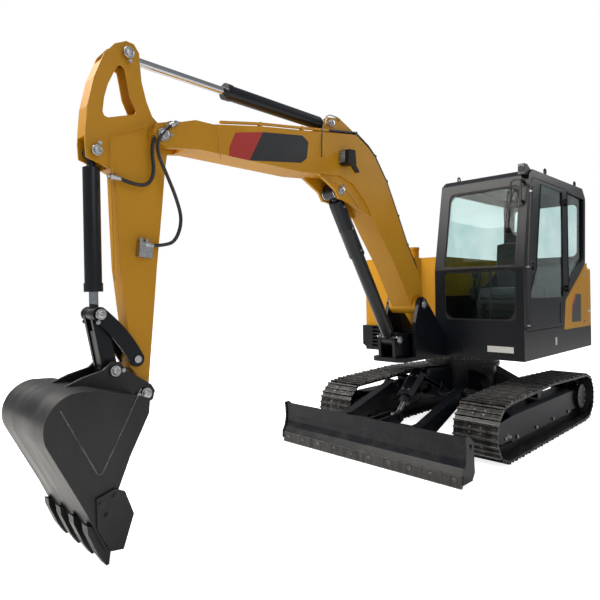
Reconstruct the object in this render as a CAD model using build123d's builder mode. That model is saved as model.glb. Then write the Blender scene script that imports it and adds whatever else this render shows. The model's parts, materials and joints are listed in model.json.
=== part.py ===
from build123d import *
import math
import os

os.makedirs("parts", exist_ok=True)

# A crawler excavator of about six tonnes, in millimetres.
# Forward is -Y, the machine's left is +X, up is +Z, and the ground is Z = 0.
# Side profiles are drawn in (y, z) measured from the slewing axis, which stands at Y = SLEW_Y.

# Driving sizes of the undercarriage
SLEW_Y = 1404
GAUGE_HALF = 785
SHOE_WIDTH = 400
WHEEL_Y = 1040
PIN_RADIUS = 206
SHOES = 38
GROUSER = 18
SHOE_PLATE = 9
LINK_HALF = 31
RAIL_IN = 22
RAIL_OUT = 55
CARRIER_LIFT = 36
FRAME_HALF = 105
FRAME_LOW = 118
FRAME_TOP = 377
FRAME_WALL = 12
ROLLER_RADIUS = 55
ROLLER_PITCH = 450
CARRIER_RADIUS = 42
SEAT_GAP = 0.3
PEDESTAL_RADIUS = 400
PEDESTAL_TOP = 700
RING_RADIUS = 385
RING_TOP = 785

# Driving sizes of the blade
BLADE_HALF = 981
BLADE_HEIGHT = 384
BLADE_FRONT = -1842
BLADE_PLATE = 14
BLADE_PIVOT = (-780, 490)
BLADE_ARM_X = 400
BLADE_ARM_WIDTH = 90
BLADE_CYL_TOP = (-837, 664)
BLADE_CYL_EYE = (-1300, 300)

# Driving sizes of the upper structure
UPPER_HALF = 926
DECK_FRONT = -556
DECK_LOW = 811
DECK_TOP = 1049
TAIL_RADIUS = 1700
SKIRT_WALL = 14
DECK_PLATE = 20
COVER_PLATE = 10
BRACKET_X = -78
BRACKET_HALF = 190
BRACKET_PLATE = 36
NOSE_FRONT = -1335
COUNTERWEIGHT_TOP = 1250
HOOD_TOP = 1786
RIGHT_HOOD_TOP = 1850

# Driving sizes of the cab
CAB_IN = 0
CAB_TOP = 2640
CAB_BACK = 1290
CAB_WALL = 20
DOOR_GAP = 6
HINGE_Y = 585

# Driving sizes of the boom, arm and bucket
BOOM_FOOT = (-973, 1347)
BOOM_LENGTH = 2980
BOOM_ELEVATION = 21.6
BOOM_WIDTH = 230
BOOM_PLATE = 12
ARM_LENGTH = 1554
ARM_LEAN = 4.54
ARM_WIDTH = 110
ARM_PLATE = 10
BUCKET_LEAN = 21.55
BUCKET_WIDTH = 666
BUCKET_PLATE = 14
PIN_GAP = 0.05
CHEEK_GAP = 3

# Pins, by radius
FOOT_PIN = 32
ARM_PIN = 30
BUCKET_PIN = 25
SMALL_PIN = 22

# Cylinders: wall of a tube, length of a gland and of a piston
TUBE_WALL = 9
GLAND = 50
PISTON = 40


def side(x=0):
    """Plane of a side profile: local x is y from the slewing axis, local y is z."""
    return Plane(origin=(x, SLEW_Y, 0), x_dir=(0, 1, 0), z_dir=(1, 0, 0))


def plan(z):
    """Plane of a plan view about the slewing axis."""
    return Plane(origin=(0, SLEW_Y, z), x_dir=(1, 0, 0), z_dir=(0, 0, 1))


def front(y):
    """Plane of a front view, whose normal points forward."""
    return Plane(origin=(0, SLEW_Y + y, 0), x_dir=(1, 0, 0), z_dir=(0, -1, 0))


def hang(frame, u, v):
    """Side point at u along and v across a link whose frame is (y, z, lean)."""
    y, z, lean = frame
    s = math.sin(math.radians(lean))
    c = math.cos(math.radians(lean))
    return (y - u * s - v * c, z - u * c + v * s)


def link_plane(frame, x=0):
    """Plane along a link, with local x along it and local y towards its front."""
    y, z, lean = frame
    s = math.sin(math.radians(lean))
    c = math.cos(math.radians(lean))
    return Plane(origin=(x, SLEW_Y + y, z), x_dir=(0, -s, -c), z_dir=(-1, 0, 0))


def link_axis(frame, x=0):
    """Axis along a link."""
    plane = link_plane(frame, x)
    return Axis(plane.origin, plane.x_dir)


def between(start, end):
    """Frame of a link that runs from one side point to another."""
    lean = math.degrees(math.atan2(start[0] - end[0], start[1] - end[1]))
    return (start[0], start[1], lean)


def reach(start, end):
    """Length between two side points."""
    return math.hypot(end[0] - start[0], end[1] - start[1])


BOOM = (BOOM_FOOT[0], BOOM_FOOT[1], 90 + BOOM_ELEVATION)
ARM_PIVOT = hang(BOOM, BOOM_LENGTH, 0)
ARM = (ARM_PIVOT[0], ARM_PIVOT[1], ARM_LEAN)
BUCKET_PIVOT = hang(ARM, ARM_LENGTH, 0)
BUCKET = (BUCKET_PIVOT[0], BUCKET_PIVOT[1], BUCKET_LEAN)

# Cylinder and linkage pins
BOOM_CYL_FOOT = (-1256, 1017)
BOOM_CYL_UV = (1383, 506)
BOOM_CYL_EYE = hang(BOOM, *BOOM_CYL_UV)
ARM_CYL_UV = (1675, 985)
ARM_CYL_BASE = hang(BOOM, *ARM_CYL_UV)
ARM_ROD_UV = (-432, 234)
ARM_CYL_EYE = hang(ARM, *ARM_ROD_UV)
BUCKET_CYL_UV = (191, 378)
BUCKET_CYL_BASE = hang(ARM, *BUCKET_CYL_UV)
ROCKER_UV = (ARM_LENGTH - 198, 51)
ROCKER_PIVOT = hang(ARM, *ROCKER_UV)
KNEE_UV = (ARM_LENGTH - 450, 293)
KNEE = hang(ARM, *KNEE_UV)
LINK_UV = (-73, 230)
LINK_PIVOT = hang(BUCKET, *LINK_UV)

# Tracks: shoes ride on the chords between the chain's pins
WHEEL_Z = PIN_RADIUS + LINK_HALF + SHOE_PLATE + GROUSER
RISE = math.atan(CARRIER_LIFT / WHEEL_Y)
ARC = PIN_RADIUS * (math.pi - RISE)
RAMP = (WHEEL_Y + PIN_RADIUS * math.sin(RISE)) / math.cos(RISE)
LOOP = 2 * WHEEL_Y + 2 * ARC + 2 * RAMP
PITCH = LOOP / SHOES


def chain_pin(s):
    """Side point of the chain's pin line, s along it from the bottom front."""
    if s <= 2 * WHEEL_Y:
        return (s - WHEEL_Y, WHEEL_Z - PIN_RADIUS)
    s -= 2 * WHEEL_Y
    if s <= ARC:
        turn = s / PIN_RADIUS - math.pi / 2
        return (WHEEL_Y + PIN_RADIUS * math.cos(turn), WHEEL_Z + PIN_RADIUS * math.sin(turn))
    s -= ARC
    high = WHEEL_Z + PIN_RADIUS * math.cos(RISE)
    far = WHEEL_Y + PIN_RADIUS * math.sin(RISE)
    if s <= RAMP:
        return (far - s * math.cos(RISE), high + s * math.sin(RISE))
    s -= RAMP
    if s <= RAMP:
        return (-s * math.cos(RISE), high + (RAMP - s) * math.sin(RISE))
    s -= RAMP
    turn = math.pi / 2 + RISE + s / PIN_RADIUS
    return (PIN_RADIUS * math.cos(turn) - WHEEL_Y, WHEEL_Z + PIN_RADIUS * math.sin(turn))


def chain_ring(offset):
    """Points of the chain's polygon, moved outwards by an offset."""
    pins = [chain_pin(i * PITCH) for i in range(SHOES)]
    points = []
    for i in range(SHOES):
        y0, z0 = pins[i - 1]
        y1, z1 = pins[i]
        y2, z2 = pins[(i + 1) % SHOES]
        turn = math.atan2(z2 - z0, y2 - y0)
        half = math.acos(min(1, reach(pins[i - 1], (y2, z2)) / (2 * PITCH)))
        out = offset / math.cos(half)
        points.append((y1 + out * math.sin(turn), z1 - out * math.cos(turn)))
    return points


def shoe_ring():
    """Outer points of the shoes, each with three bars, one shoe for each chord."""
    foot = LINK_HALF + 2
    plate = LINK_HALF + SHOE_PLATE
    tip = plate + GROUSER
    points = []
    for i in range(SHOES):
        y0, z0 = chain_pin(i * PITCH)
        y1, z1 = chain_pin(((i + 1) % SHOES) * PITCH)
        turn = math.atan2(z1 - z0, y1 - y0)
        half = 0.47 * PITCH
        bars = [(-half, foot), (-half, tip), (12 - half, tip), (18 - half, plate)]
        bars += [(-9, plate), (-5, tip - 2), (5, tip - 2), (9, plate)]
        bars += [(half - 18, plate), (half - 12, tip), (half, tip), (half, foot)]
        for a, n in bars:
            y = (y0 + y1) / 2 + a * math.cos(turn) + n * math.sin(turn)
            z = (z0 + z1) / 2 + a * math.sin(turn) - n * math.cos(turn)
            points.append((y, z))
    return points


for name, sign in (("left", 1), ("right", -1)):
    middle = sign * GAUGE_HALF
    with BuildPart() as track:
        with BuildSketch(side(middle)):
            with BuildLine():
                Polyline(*shoe_ring(), close=True)
            make_face()
            with BuildLine():
                Polyline(*chain_ring(LINK_HALF - 6), close=True)
            make_face(mode=Mode.SUBTRACT)
        extrude(amount=SHOE_WIDTH / 2, both=True)
        for rail in (-1, 1):
            with BuildSketch(side(middle + rail * (RAIL_IN + RAIL_OUT) / 2)):
                with BuildLine():
                    Polyline(*chain_ring(LINK_HALF - 3), close=True)
                make_face()
                with BuildLine():
                    Polyline(*chain_ring(-LINK_HALF), close=True)
                make_face(mode=Mode.SUBTRACT)
            extrude(amount=(RAIL_OUT - RAIL_IN) / 2, both=True)
    track.part.label = f"track_{name}"
    export_step(track.part, f"parts/track_{name}.step")

# Track frames: an inverted channel that holds the rollers, with yoke plates at the idler
IDLER_RADIUS = math.sqrt(PIN_RADIUS ** 2 - (PITCH / 2) ** 2) - LINK_HALF - SEAT_GAP
ROLLER_Z = WHEEL_Z - PIN_RADIUS + LINK_HALF + SEAT_GAP + ROLLER_RADIUS
CHANNEL_TOP = ROLLER_Z + ROLLER_RADIUS + 20
AXLE_RADIUS = 30
HUB_RADIUS = 125
FRAME_FRONT = -WHEEL_Y + 250
FRAME_BACK = WHEEL_Y - 250

for name, sign in (("left", 1), ("right", -1)):
    middle = sign * GAUGE_HALF
    with BuildPart() as track_frame:
        with BuildSketch(Plane(origin=(middle, SLEW_Y + FRAME_BACK, 0), x_dir=(1, 0, 0), z_dir=(0, -1, 0))):
            with BuildLine():
                Polyline(
                    (-FRAME_HALF, FRAME_LOW), (FRAME_HALF, FRAME_LOW), (FRAME_HALF, FRAME_TOP - 30),
                    (FRAME_HALF - 30, FRAME_TOP), (30 - FRAME_HALF, FRAME_TOP),
                    (-FRAME_HALF, FRAME_TOP - 30), close=True,
                )
            make_face()
            with Locations((0, (FRAME_LOW + CHANNEL_TOP) / 2)):
                Rectangle(2 * (FRAME_HALF - FRAME_WALL), CHANNEL_TOP - FRAME_LOW, mode=Mode.SUBTRACT)
            with Locations((0, (CHANNEL_TOP + FRAME_TOP) / 2)):
                Rectangle(
                    2 * (FRAME_HALF - FRAME_WALL) - 30, FRAME_TOP - CHANNEL_TOP - 2 * FRAME_WALL,
                    mode=Mode.SUBTRACT,
                )
        extrude(amount=FRAME_BACK - FRAME_FRONT)
        for cheek in (-1, 1):
            with BuildSketch(side(middle + cheek * (FRAME_HALF - FRAME_WALL / 2))):
                with BuildLine():
                    Polyline(
                        (FRAME_FRONT + 10, FRAME_LOW + 20), (FRAME_FRONT + 10, FRAME_TOP - 30),
                        (-WHEEL_Y - 20, FRAME_TOP - 50), (-WHEEL_Y - 60, WHEEL_Z + 20),
                        (-WHEEL_Y - 50, WHEEL_Z - 90), (-WHEEL_Y + 30, FRAME_LOW + 20), close=True,
                    )
                make_face()
            extrude(amount=FRAME_WALL / 2, both=True)
            with BuildSketch(side(middle + cheek * (FRAME_HALF - FRAME_WALL / 2))):
                with BuildLine():
                    Polyline(
                        (FRAME_BACK - 10, FRAME_LOW + 20), (FRAME_BACK - 10, FRAME_TOP - 30),
                        (WHEEL_Y - 70, FRAME_TOP - 20), (WHEEL_Y - 70, FRAME_LOW + 30), close=True,
                    )
                make_face()
                with Locations((WHEEL_Y, WHEEL_Z)):
                    Circle(HUB_RADIUS + SEAT_GAP, mode=Mode.SUBTRACT)
            extrude(amount=FRAME_WALL / 2, both=True)
        with BuildSketch(side(middle)):
            with Locations((-WHEEL_Y, WHEEL_Z)):
                Circle(AXLE_RADIUS + PIN_GAP)
        extrude(amount=FRAME_HALF + 20, both=True, mode=Mode.SUBTRACT)
        with BuildSketch(side(middle)):
            for place in (-1.5, -0.5, 0.5, 1.5):
                with Locations((place * ROLLER_PITCH, ROLLER_Z)):
                    Circle(16)
        extrude(amount=FRAME_HALF + 20, both=True, mode=Mode.SUBTRACT)
    track_frame.part.label = f"track_frame_{name}"
    export_step(track_frame.part, f"parts/track_frame_{name}.step")

    with BuildPart() as idler:
        with BuildSketch(side(middle)):
            with Locations((-WHEEL_Y, WHEEL_Z)):
                Circle(IDLER_RADIUS)
        extrude(amount=RAIL_OUT + 4, both=True)
        with BuildSketch(side(middle)):
            with Locations((-WHEEL_Y, WHEEL_Z)):
                Circle(IDLER_RADIUS + 24)
        extrude(amount=RAIL_IN - 4, both=True)
        for cheek in (-1, 1):
            with BuildSketch(side(middle + cheek * (RAIL_OUT + 4))):
                with Locations((-WHEEL_Y, WHEEL_Z)):
                    Circle(IDLER_RADIUS - 22)
                    Circle(AXLE_RADIUS + 28, mode=Mode.SUBTRACT)
            extrude(amount=-cheek * 30, mode=Mode.SUBTRACT)
        with BuildSketch(side(middle)):
            with Locations((-WHEEL_Y, WHEEL_Z)):
                Circle(AXLE_RADIUS)
        extrude(amount=FRAME_HALF + 6, both=True)
    idler.part.label = f"idler_{name}"
    export_step(idler.part, f"parts/idler_{name}.step")

    with BuildPart() as sprocket:
        with BuildSketch(side(middle)):
            with Locations((WHEEL_Y, WHEEL_Z)):
                Circle(PIN_RADIUS + 8)
        extrude(amount=RAIL_IN - 5, both=True)
        with BuildSketch(side(middle)):
            for tooth in range(18):
                turn = math.radians(20 * tooth + 10)
                y = WHEEL_Y + (PIN_RADIUS + 6) * math.cos(turn)
                z = WHEEL_Z + (PIN_RADIUS + 6) * math.sin(turn)
                with Locations((y, z)):
                    Circle(22)
        extrude(amount=RAIL_IN, both=True, mode=Mode.SUBTRACT)
        with BuildSketch(side(middle)):
            with Locations((WHEEL_Y, WHEEL_Z)):
                Circle(HUB_RADIUS)
        extrude(amount=sign * (FRAME_HALF + 25))
        with BuildSketch(side(middle + sign * (FRAME_HALF + 25))):
            with Locations((WHEEL_Y, WHEEL_Z)):
                Circle(HUB_RADIUS + 10)
        extrude(amount=sign * 12)
        with BuildSketch(side(middle)):
            with Locations((WHEEL_Y, WHEEL_Z)):
                Circle(HUB_RADIUS)
        extrude(amount=-sign * (FRAME_HALF + 60))
    sprocket.part.label = f"sprocket_{name}"
    export_step(sprocket.part, f"parts/sprocket_{name}.step")

    with BuildPart() as rollers:
        for place in (-1.5, -0.5, 0.5, 1.5):
            with BuildSketch(side(middle)):
                with Locations((place * ROLLER_PITCH, ROLLER_Z)):
                    Circle(ROLLER_RADIUS)
            extrude(amount=FRAME_HALF - FRAME_WALL - 8, both=True)
            with BuildSketch(side(middle)):
                with Locations((place * ROLLER_PITCH, ROLLER_Z)):
                    Circle(16 - PIN_GAP)
            extrude(amount=FRAME_HALF + 8, both=True)
    rollers.part.label = f"rollers_{name}"
    export_step(rollers.part, f"parts/rollers_{name}.step")

    with BuildPart() as carrier:
        with BuildSketch(side(middle)):
            with Locations((0, WHEEL_Z + PIN_RADIUS + CARRIER_LIFT - LINK_HALF - CARRIER_RADIUS - 6)):
                Circle(CARRIER_RADIUS)
        extrude(amount=RAIL_OUT + 4, both=True)
        with BuildSketch(side(middle - sign * (RAIL_OUT + 4))):
            with Locations((0, WHEEL_Z + PIN_RADIUS + CARRIER_LIFT - LINK_HALF - CARRIER_RADIUS - 6)):
                Circle(20)
        extrude(amount=-sign * 15)
        with BuildSketch(side(middle - sign * (RAIL_OUT + 8))):
            with BuildLine():
                Polyline((-45, FRAME_TOP), (45, FRAME_TOP), (30, 452), (-30, 452), close=True)
            make_face()
        extrude(amount=-sign * 12)
    carrier.part.label = f"carrier_roller_{name}"
    export_step(carrier.part, f"parts/carrier_roller_{name}.step")

# Centre frame: a drum under the slewing ring on four sloping legs
LEG_IN = 300
LEG_OUT = GAUGE_HALF - FRAME_HALF
with BuildPart() as center_frame:
    with BuildSketch(plan(330)):
        Circle(PEDESTAL_RADIUS - 40)
        Circle(PEDESTAL_RADIUS - 160, mode=Mode.SUBTRACT)
    extrude(amount=PEDESTAL_TOP - 330)
    with BuildSketch(plan(PEDESTAL_TOP - 30)):
        Circle(PEDESTAL_RADIUS)
        Circle(PEDESTAL_RADIUS - 160, mode=Mode.SUBTRACT)
    extrude(amount=30)
    with BuildSketch(plan(330)):
        RectangleRounded(2 * LEG_IN + 120, 2 * LEG_IN, 60)
        Circle(150, mode=Mode.SUBTRACT)
    extrude(amount=24)
    for sx in (-1, 1):
        for sy in (-1, 1):
            with BuildSketch(Plane(origin=(sx * (LEG_IN - 40), SLEW_Y + sy * 210, 520), x_dir=(0, 1, 0), z_dir=(1, 0, 0))):
                Rectangle(210, 240)
            with BuildSketch(Plane(origin=(sx * LEG_OUT, SLEW_Y + sy * 430, 285), x_dir=(0, 1, 0), z_dir=(1, 0, 0))):
                Rectangle(230, 150)
            loft()
    for sx in (-1, 1):
        for cheek in (-1, 1):
            with BuildSketch(side(sx * BLADE_ARM_X + cheek * (BLADE_ARM_WIDTH / 2 + CHEEK_GAP + 11))):
                with BuildLine():
                    Polyline(
                        (BLADE_PIVOT[0] + 10, BLADE_PIVOT[1] - 60), (BLADE_PIVOT[0] - 50, BLADE_PIVOT[1] - 40),
                        (BLADE_PIVOT[0] - 55, BLADE_PIVOT[1] + 30), (BLADE_PIVOT[0], BLADE_PIVOT[1] + 60),
                        (-480, 470), (-320, 460), (-320, 350), (-520, 300), close=True,
                    )
                make_face()
                with Locations(BLADE_PIVOT):
                    Circle(BUCKET_PIN + PIN_GAP, mode=Mode.SUBTRACT)
            extrude(amount=11, both=True)
    for cheek in (-1, 1):
        with BuildSketch(side(cheek * 62)):
            with BuildLine():
                Polyline(
                    (-330, PEDESTAL_TOP - 30), (BLADE_CYL_TOP[0] - 10, BLADE_CYL_TOP[1] + 42),
                    (BLADE_CYL_TOP[0] - 45, BLADE_CYL_TOP[1]), (BLADE_CYL_TOP[0] - 10, BLADE_CYL_TOP[1] - 45),
                    (-330, 400), close=True,
                )
            make_face()
            with Locations(BLADE_CYL_TOP):
                Circle(BUCKET_PIN + PIN_GAP, mode=Mode.SUBTRACT)
        extrude(amount=11, both=True)
center_frame.part.label = "center_frame"
export_step(center_frame.part, "parts/center_frame.step")

with BuildPart() as slew_ring:
    with BuildSketch(plan(PEDESTAL_TOP)):
        Circle(RING_RADIUS)
        Circle(RING_RADIUS - 90, mode=Mode.SUBTRACT)
    extrude(amount=RING_TOP - PEDESTAL_TOP)
    with BuildSketch(plan(RING_TOP - 30)):
        Circle(RING_RADIUS + 20)
        Circle(RING_RADIUS - 10, mode=Mode.SUBTRACT)
    extrude(amount=12, mode=Mode.SUBTRACT)
slew_ring.part.label = "slew_ring"
export_step(slew_ring.part, "parts/slew_ring.step")

with BuildPart() as blade_pins:
    for sx in (-1, 1):
        with BuildSketch(side(sx * BLADE_ARM_X)):
            with Locations(BLADE_PIVOT):
                Circle(BUCKET_PIN)
        extrude(amount=BLADE_ARM_WIDTH / 2 + CHEEK_GAP + 30, both=True)
    with BuildSketch(side()):
        with Locations(BLADE_CYL_TOP):
            Circle(BUCKET_PIN)
    extrude(amount=82, both=True)
blade_pins.part.label = "blade_pins"
export_step(blade_pins.part, "parts/blade_pins.step")

# Dozer blade: a curved mouldboard with end plates, two push arms and the cylinder's lugs
BLADE_TOP_Y = BLADE_FRONT + 44
with BuildPart() as blade:
    with BuildSketch(side()):
        with BuildLine():
            Polyline(
                (BLADE_FRONT + 6, 100), (BLADE_FRONT + 36, 150), (BLADE_FRONT + 52, 205), (BLADE_FRONT + 56, 265),
                (BLADE_FRONT + 52, 325), (BLADE_TOP_Y, BLADE_HEIGHT), (BLADE_TOP_Y + 34, BLADE_HEIGHT - 22),
                (BLADE_FRONT + 52 + BLADE_PLATE, 318), (BLADE_FRONT + 56 + BLADE_PLATE, 265),
                (BLADE_FRONT + 52 + BLADE_PLATE, 205), (BLADE_FRONT + 36 + BLADE_PLATE, 150),
                (BLADE_FRONT + 24 + BLADE_PLATE, 100), close=True,
            )
        make_face()
    extrude(amount=BLADE_HALF - 8, both=True)
    with BuildSketch(side()):
        with BuildLine():
            Polyline(
                (BLADE_FRONT + 20, 60), (BLADE_FRONT + 20, 100), (BLADE_FRONT + 110, 130),
                (BLADE_FRONT + 150, 110), (BLADE_FRONT + 150, 60), close=True,
            )
        make_face()
    extrude(amount=BLADE_HALF - 20, both=True)
    for cheek in (-1, 1):
        with BuildSketch(side(cheek * (BLADE_HALF - 9))):
            with BuildLine():
                Polyline(
                    (BLADE_TOP_Y - 12, BLADE_HEIGHT + 2), (BLADE_TOP_Y + 42, BLADE_HEIGHT + 2),
                    (BLADE_TOP_Y + 112, 330), (BLADE_TOP_Y + 132, 92), (BLADE_TOP_Y + 92, 40),
                    (BLADE_FRONT - 4, 40), (BLADE_FRONT - 2, 104), (BLADE_FRONT + 26, 155), (BLADE_FRONT + 40, 208),
                    (BLADE_FRONT + 44, 265), (BLADE_FRONT + 40, 322), close=True,
                )
            make_face()
            with Locations((BLADE_TOP_Y + 62, 300)):
                Circle(22, mode=Mode.SUBTRACT)
        extrude(amount=9, both=True)
    for sx in (-1, 1):
        with BuildSketch(side(sx * BLADE_ARM_X)):
            with BuildLine():
                Polyline(
                    (BLADE_FRONT + 60, 90), (BLADE_FRONT + 70, 320), (-1500, 330),
                    (BLADE_PIVOT[0] - 20, BLADE_PIVOT[1] + 46), (BLADE_PIVOT[0] + 36, BLADE_PIVOT[1] + 28),
                    (BLADE_PIVOT[0] + 40, BLADE_PIVOT[1] - 26), (BLADE_PIVOT[0], BLADE_PIVOT[1] - 46),
                    (-1500, 160), close=True,
                )
            make_face()
            with Locations(BLADE_PIVOT):
                Circle(BUCKET_PIN + PIN_GAP, mode=Mode.SUBTRACT)
        extrude(amount=BLADE_ARM_WIDTH / 2, both=True)
    with BuildSketch(side()):
        with BuildLine():
            Polyline((-1600, 150), (-1600, 300), (-1480, 300), (-1480, 180), close=True)
        make_face()
    extrude(amount=BLADE_ARM_X, both=True)
    for cheek in (-1, 1):
        with BuildSketch(side(cheek * 52)):
            with BuildLine():
                Polyline(
                    (BLADE_FRONT + 62, 150), (BLADE_FRONT + 62, 330), (BLADE_CYL_EYE[0], BLADE_CYL_EYE[1] + 48),
                    (BLADE_CYL_EYE[0] + 44, BLADE_CYL_EYE[1] + 20), (BLADE_CYL_EYE[0] + 44, BLADE_CYL_EYE[1] - 25),
                    (BLADE_CYL_EYE[0], BLADE_CYL_EYE[1] - 48), (-1480, 180), close=True,
                )
            make_face()
        extrude(amount=11, both=True)
        with BuildSketch(side(cheek * 63)):
            with Locations(BLADE_CYL_EYE):
                Circle(BUCKET_PIN + 8)
        extrude(amount=cheek * 12)
blade.part.label = "dozer_blade"
export_step(blade.part, "parts/dozer_blade.step")

with BuildPart() as cutting_edge:
    with BuildSketch(side()):
        with BuildLine():
            Polyline(
                (BLADE_FRONT, 4), (BLADE_FRONT + 4, 97), (BLADE_FRONT + 19.7, 97),
                (BLADE_FRONT + 19.7, 20), close=True,
            )
        make_face()
    extrude(amount=BLADE_HALF - 18.5, both=True)
cutting_edge.part.label = "cutting_edge"
export_step(cutting_edge.part, "parts/cutting_edge.step")


def barrel_and_rod(name, x, base, eye, tube, rod_size, tube_length, width, eye_radius, pin, neck, inside):
    """Hydraulic cylinder between two side points. The rod's piston starts inside from the base."""
    frame = between(base, eye)
    length = reach(base, eye)
    plane = link_plane(frame, x)
    bore = tube / 2 - TUBE_WALL
    gland = rod_size / 2 + SEAT_GAP
    with BuildPart() as barrel:
        with BuildSketch(plane):
            with BuildLine():
                Polyline(
                    (eye_radius - 6, 0), (eye_radius - 6, width * 0.4), (neck - 12, width * 0.4), (neck, tube / 2),
                    (tube_length - GLAND, tube / 2), (tube_length - GLAND, tube / 2 + 5),
                    (tube_length, tube / 2 + 5), (tube_length, gland), (tube_length - GLAND, gland),
                    (tube_length - GLAND, bore), (neck + 14, bore), (neck + 14, 0), close=True,
                )
            make_face()
        revolve(axis=link_axis(frame, x))
        with BuildSketch(plane):
            Circle(eye_radius)
        extrude(amount=width / 2, both=True)
        with BuildSketch(plane):
            Circle(pin + PIN_GAP)
        extrude(amount=width, both=True, mode=Mode.SUBTRACT)
    barrel.part.label = f"{name}_cylinder_barrel"
    export_step(barrel.part, f"parts/{name}_cylinder_barrel.step")
    with BuildPart() as rod:
        with BuildSketch(plane):
            with BuildLine():
                Polyline(
                    (inside, 0), (inside, bore - SEAT_GAP), (inside + PISTON, bore - SEAT_GAP),
                    (inside + PISTON, rod_size / 2), (length, rod_size / 2), (length, 0), close=True,
                )
            make_face()
        revolve(axis=link_axis(frame, x))
        with BuildSketch(plane):
            with Locations((length, 0)):
                Circle(eye_radius)
        extrude(amount=width / 2, both=True)
    rod.part.label = f"{name}_cylinder_rod"
    export_step(rod.part, f"parts/{name}_cylinder_rod.step")


BLADE_TUBE = 95
barrel_and_rod("blade", 0, BLADE_CYL_TOP, BLADE_CYL_EYE, BLADE_TUBE, 45, 400, 76, 42, BUCKET_PIN, 70, 170)

# Guard over the blade's cylinder: a plate with two bevels on two saddles
BLADE_CYL = between(BLADE_CYL_TOP, BLADE_CYL_EYE)
GUARD_LIFT = 64
with BuildPart() as blade_cylinder_guard:
    across = link_plane(BLADE_CYL)
    ends = Plane(origin=across.from_local_coords((60, 0, 0)), x_dir=(1, 0, 0), z_dir=across.x_dir)
    with BuildSketch(ends):
        with BuildLine():
            Polyline((-88, GUARD_LIFT - 36), (-50, GUARD_LIFT), (50, GUARD_LIFT), (88, GUARD_LIFT - 36),
                     (88, GUARD_LIFT - 26), (52, GUARD_LIFT + 10), (-52, GUARD_LIFT + 10), (-88, GUARD_LIFT - 26),
                     close=True)
        make_face()
    extrude(amount=300)
    for along in (80, 250):
        with BuildSketch(ends.offset(along)):
            with Locations((0, GUARD_LIFT / 2)):
                Rectangle(60, GUARD_LIFT)
            Circle(BLADE_TUBE / 2, mode=Mode.SUBTRACT)
        extrude(amount=24)
blade_cylinder_guard.part.label = "blade_cylinder_guard"
export_step(blade_cylinder_guard.part, "parts/blade_cylinder_guard.step")

# Upper frame: deck, skirts, slewing ring seat and the boom's bracket
TAIL_SIDE_Y = math.sqrt(TAIL_RADIUS ** 2 - UPPER_HALF ** 2)
SIDE_BACK = 1300


def deck_plan(inset):
    """Outline of the deck, moved inwards by an inset, with the tail on the arc of its swing."""
    half = UPPER_HALF - inset
    tail = TAIL_RADIUS - inset
    side_y = math.sqrt(tail ** 2 - half ** 2)
    with BuildSketch() as outline:
        with BuildLine():
            Polyline(
                (-half, side_y), (-half, DECK_FRONT + 10 + inset), (-300, DECK_FRONT + 10 + inset),
                (-300, DECK_FRONT + inset), (half, DECK_FRONT + inset), (half, side_y),
            )
            ThreePointArc((half, side_y), (0, tail), (-half, side_y))
        make_face()
    return outline.sketch


def tail_plan(start, inset):
    """Outline of the tail behind a start line, moved inwards by an inset."""
    half = UPPER_HALF - inset
    tail = TAIL_RADIUS - inset
    side_y = math.sqrt(tail ** 2 - half ** 2)
    with BuildSketch() as outline:
        with BuildLine():
            Polyline((half, side_y), (half, start + inset), (-half, start + inset), (-half, side_y))
            ThreePointArc((-half, side_y), (0, tail), (half, side_y))
        make_face()
    return outline.sketch


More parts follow.
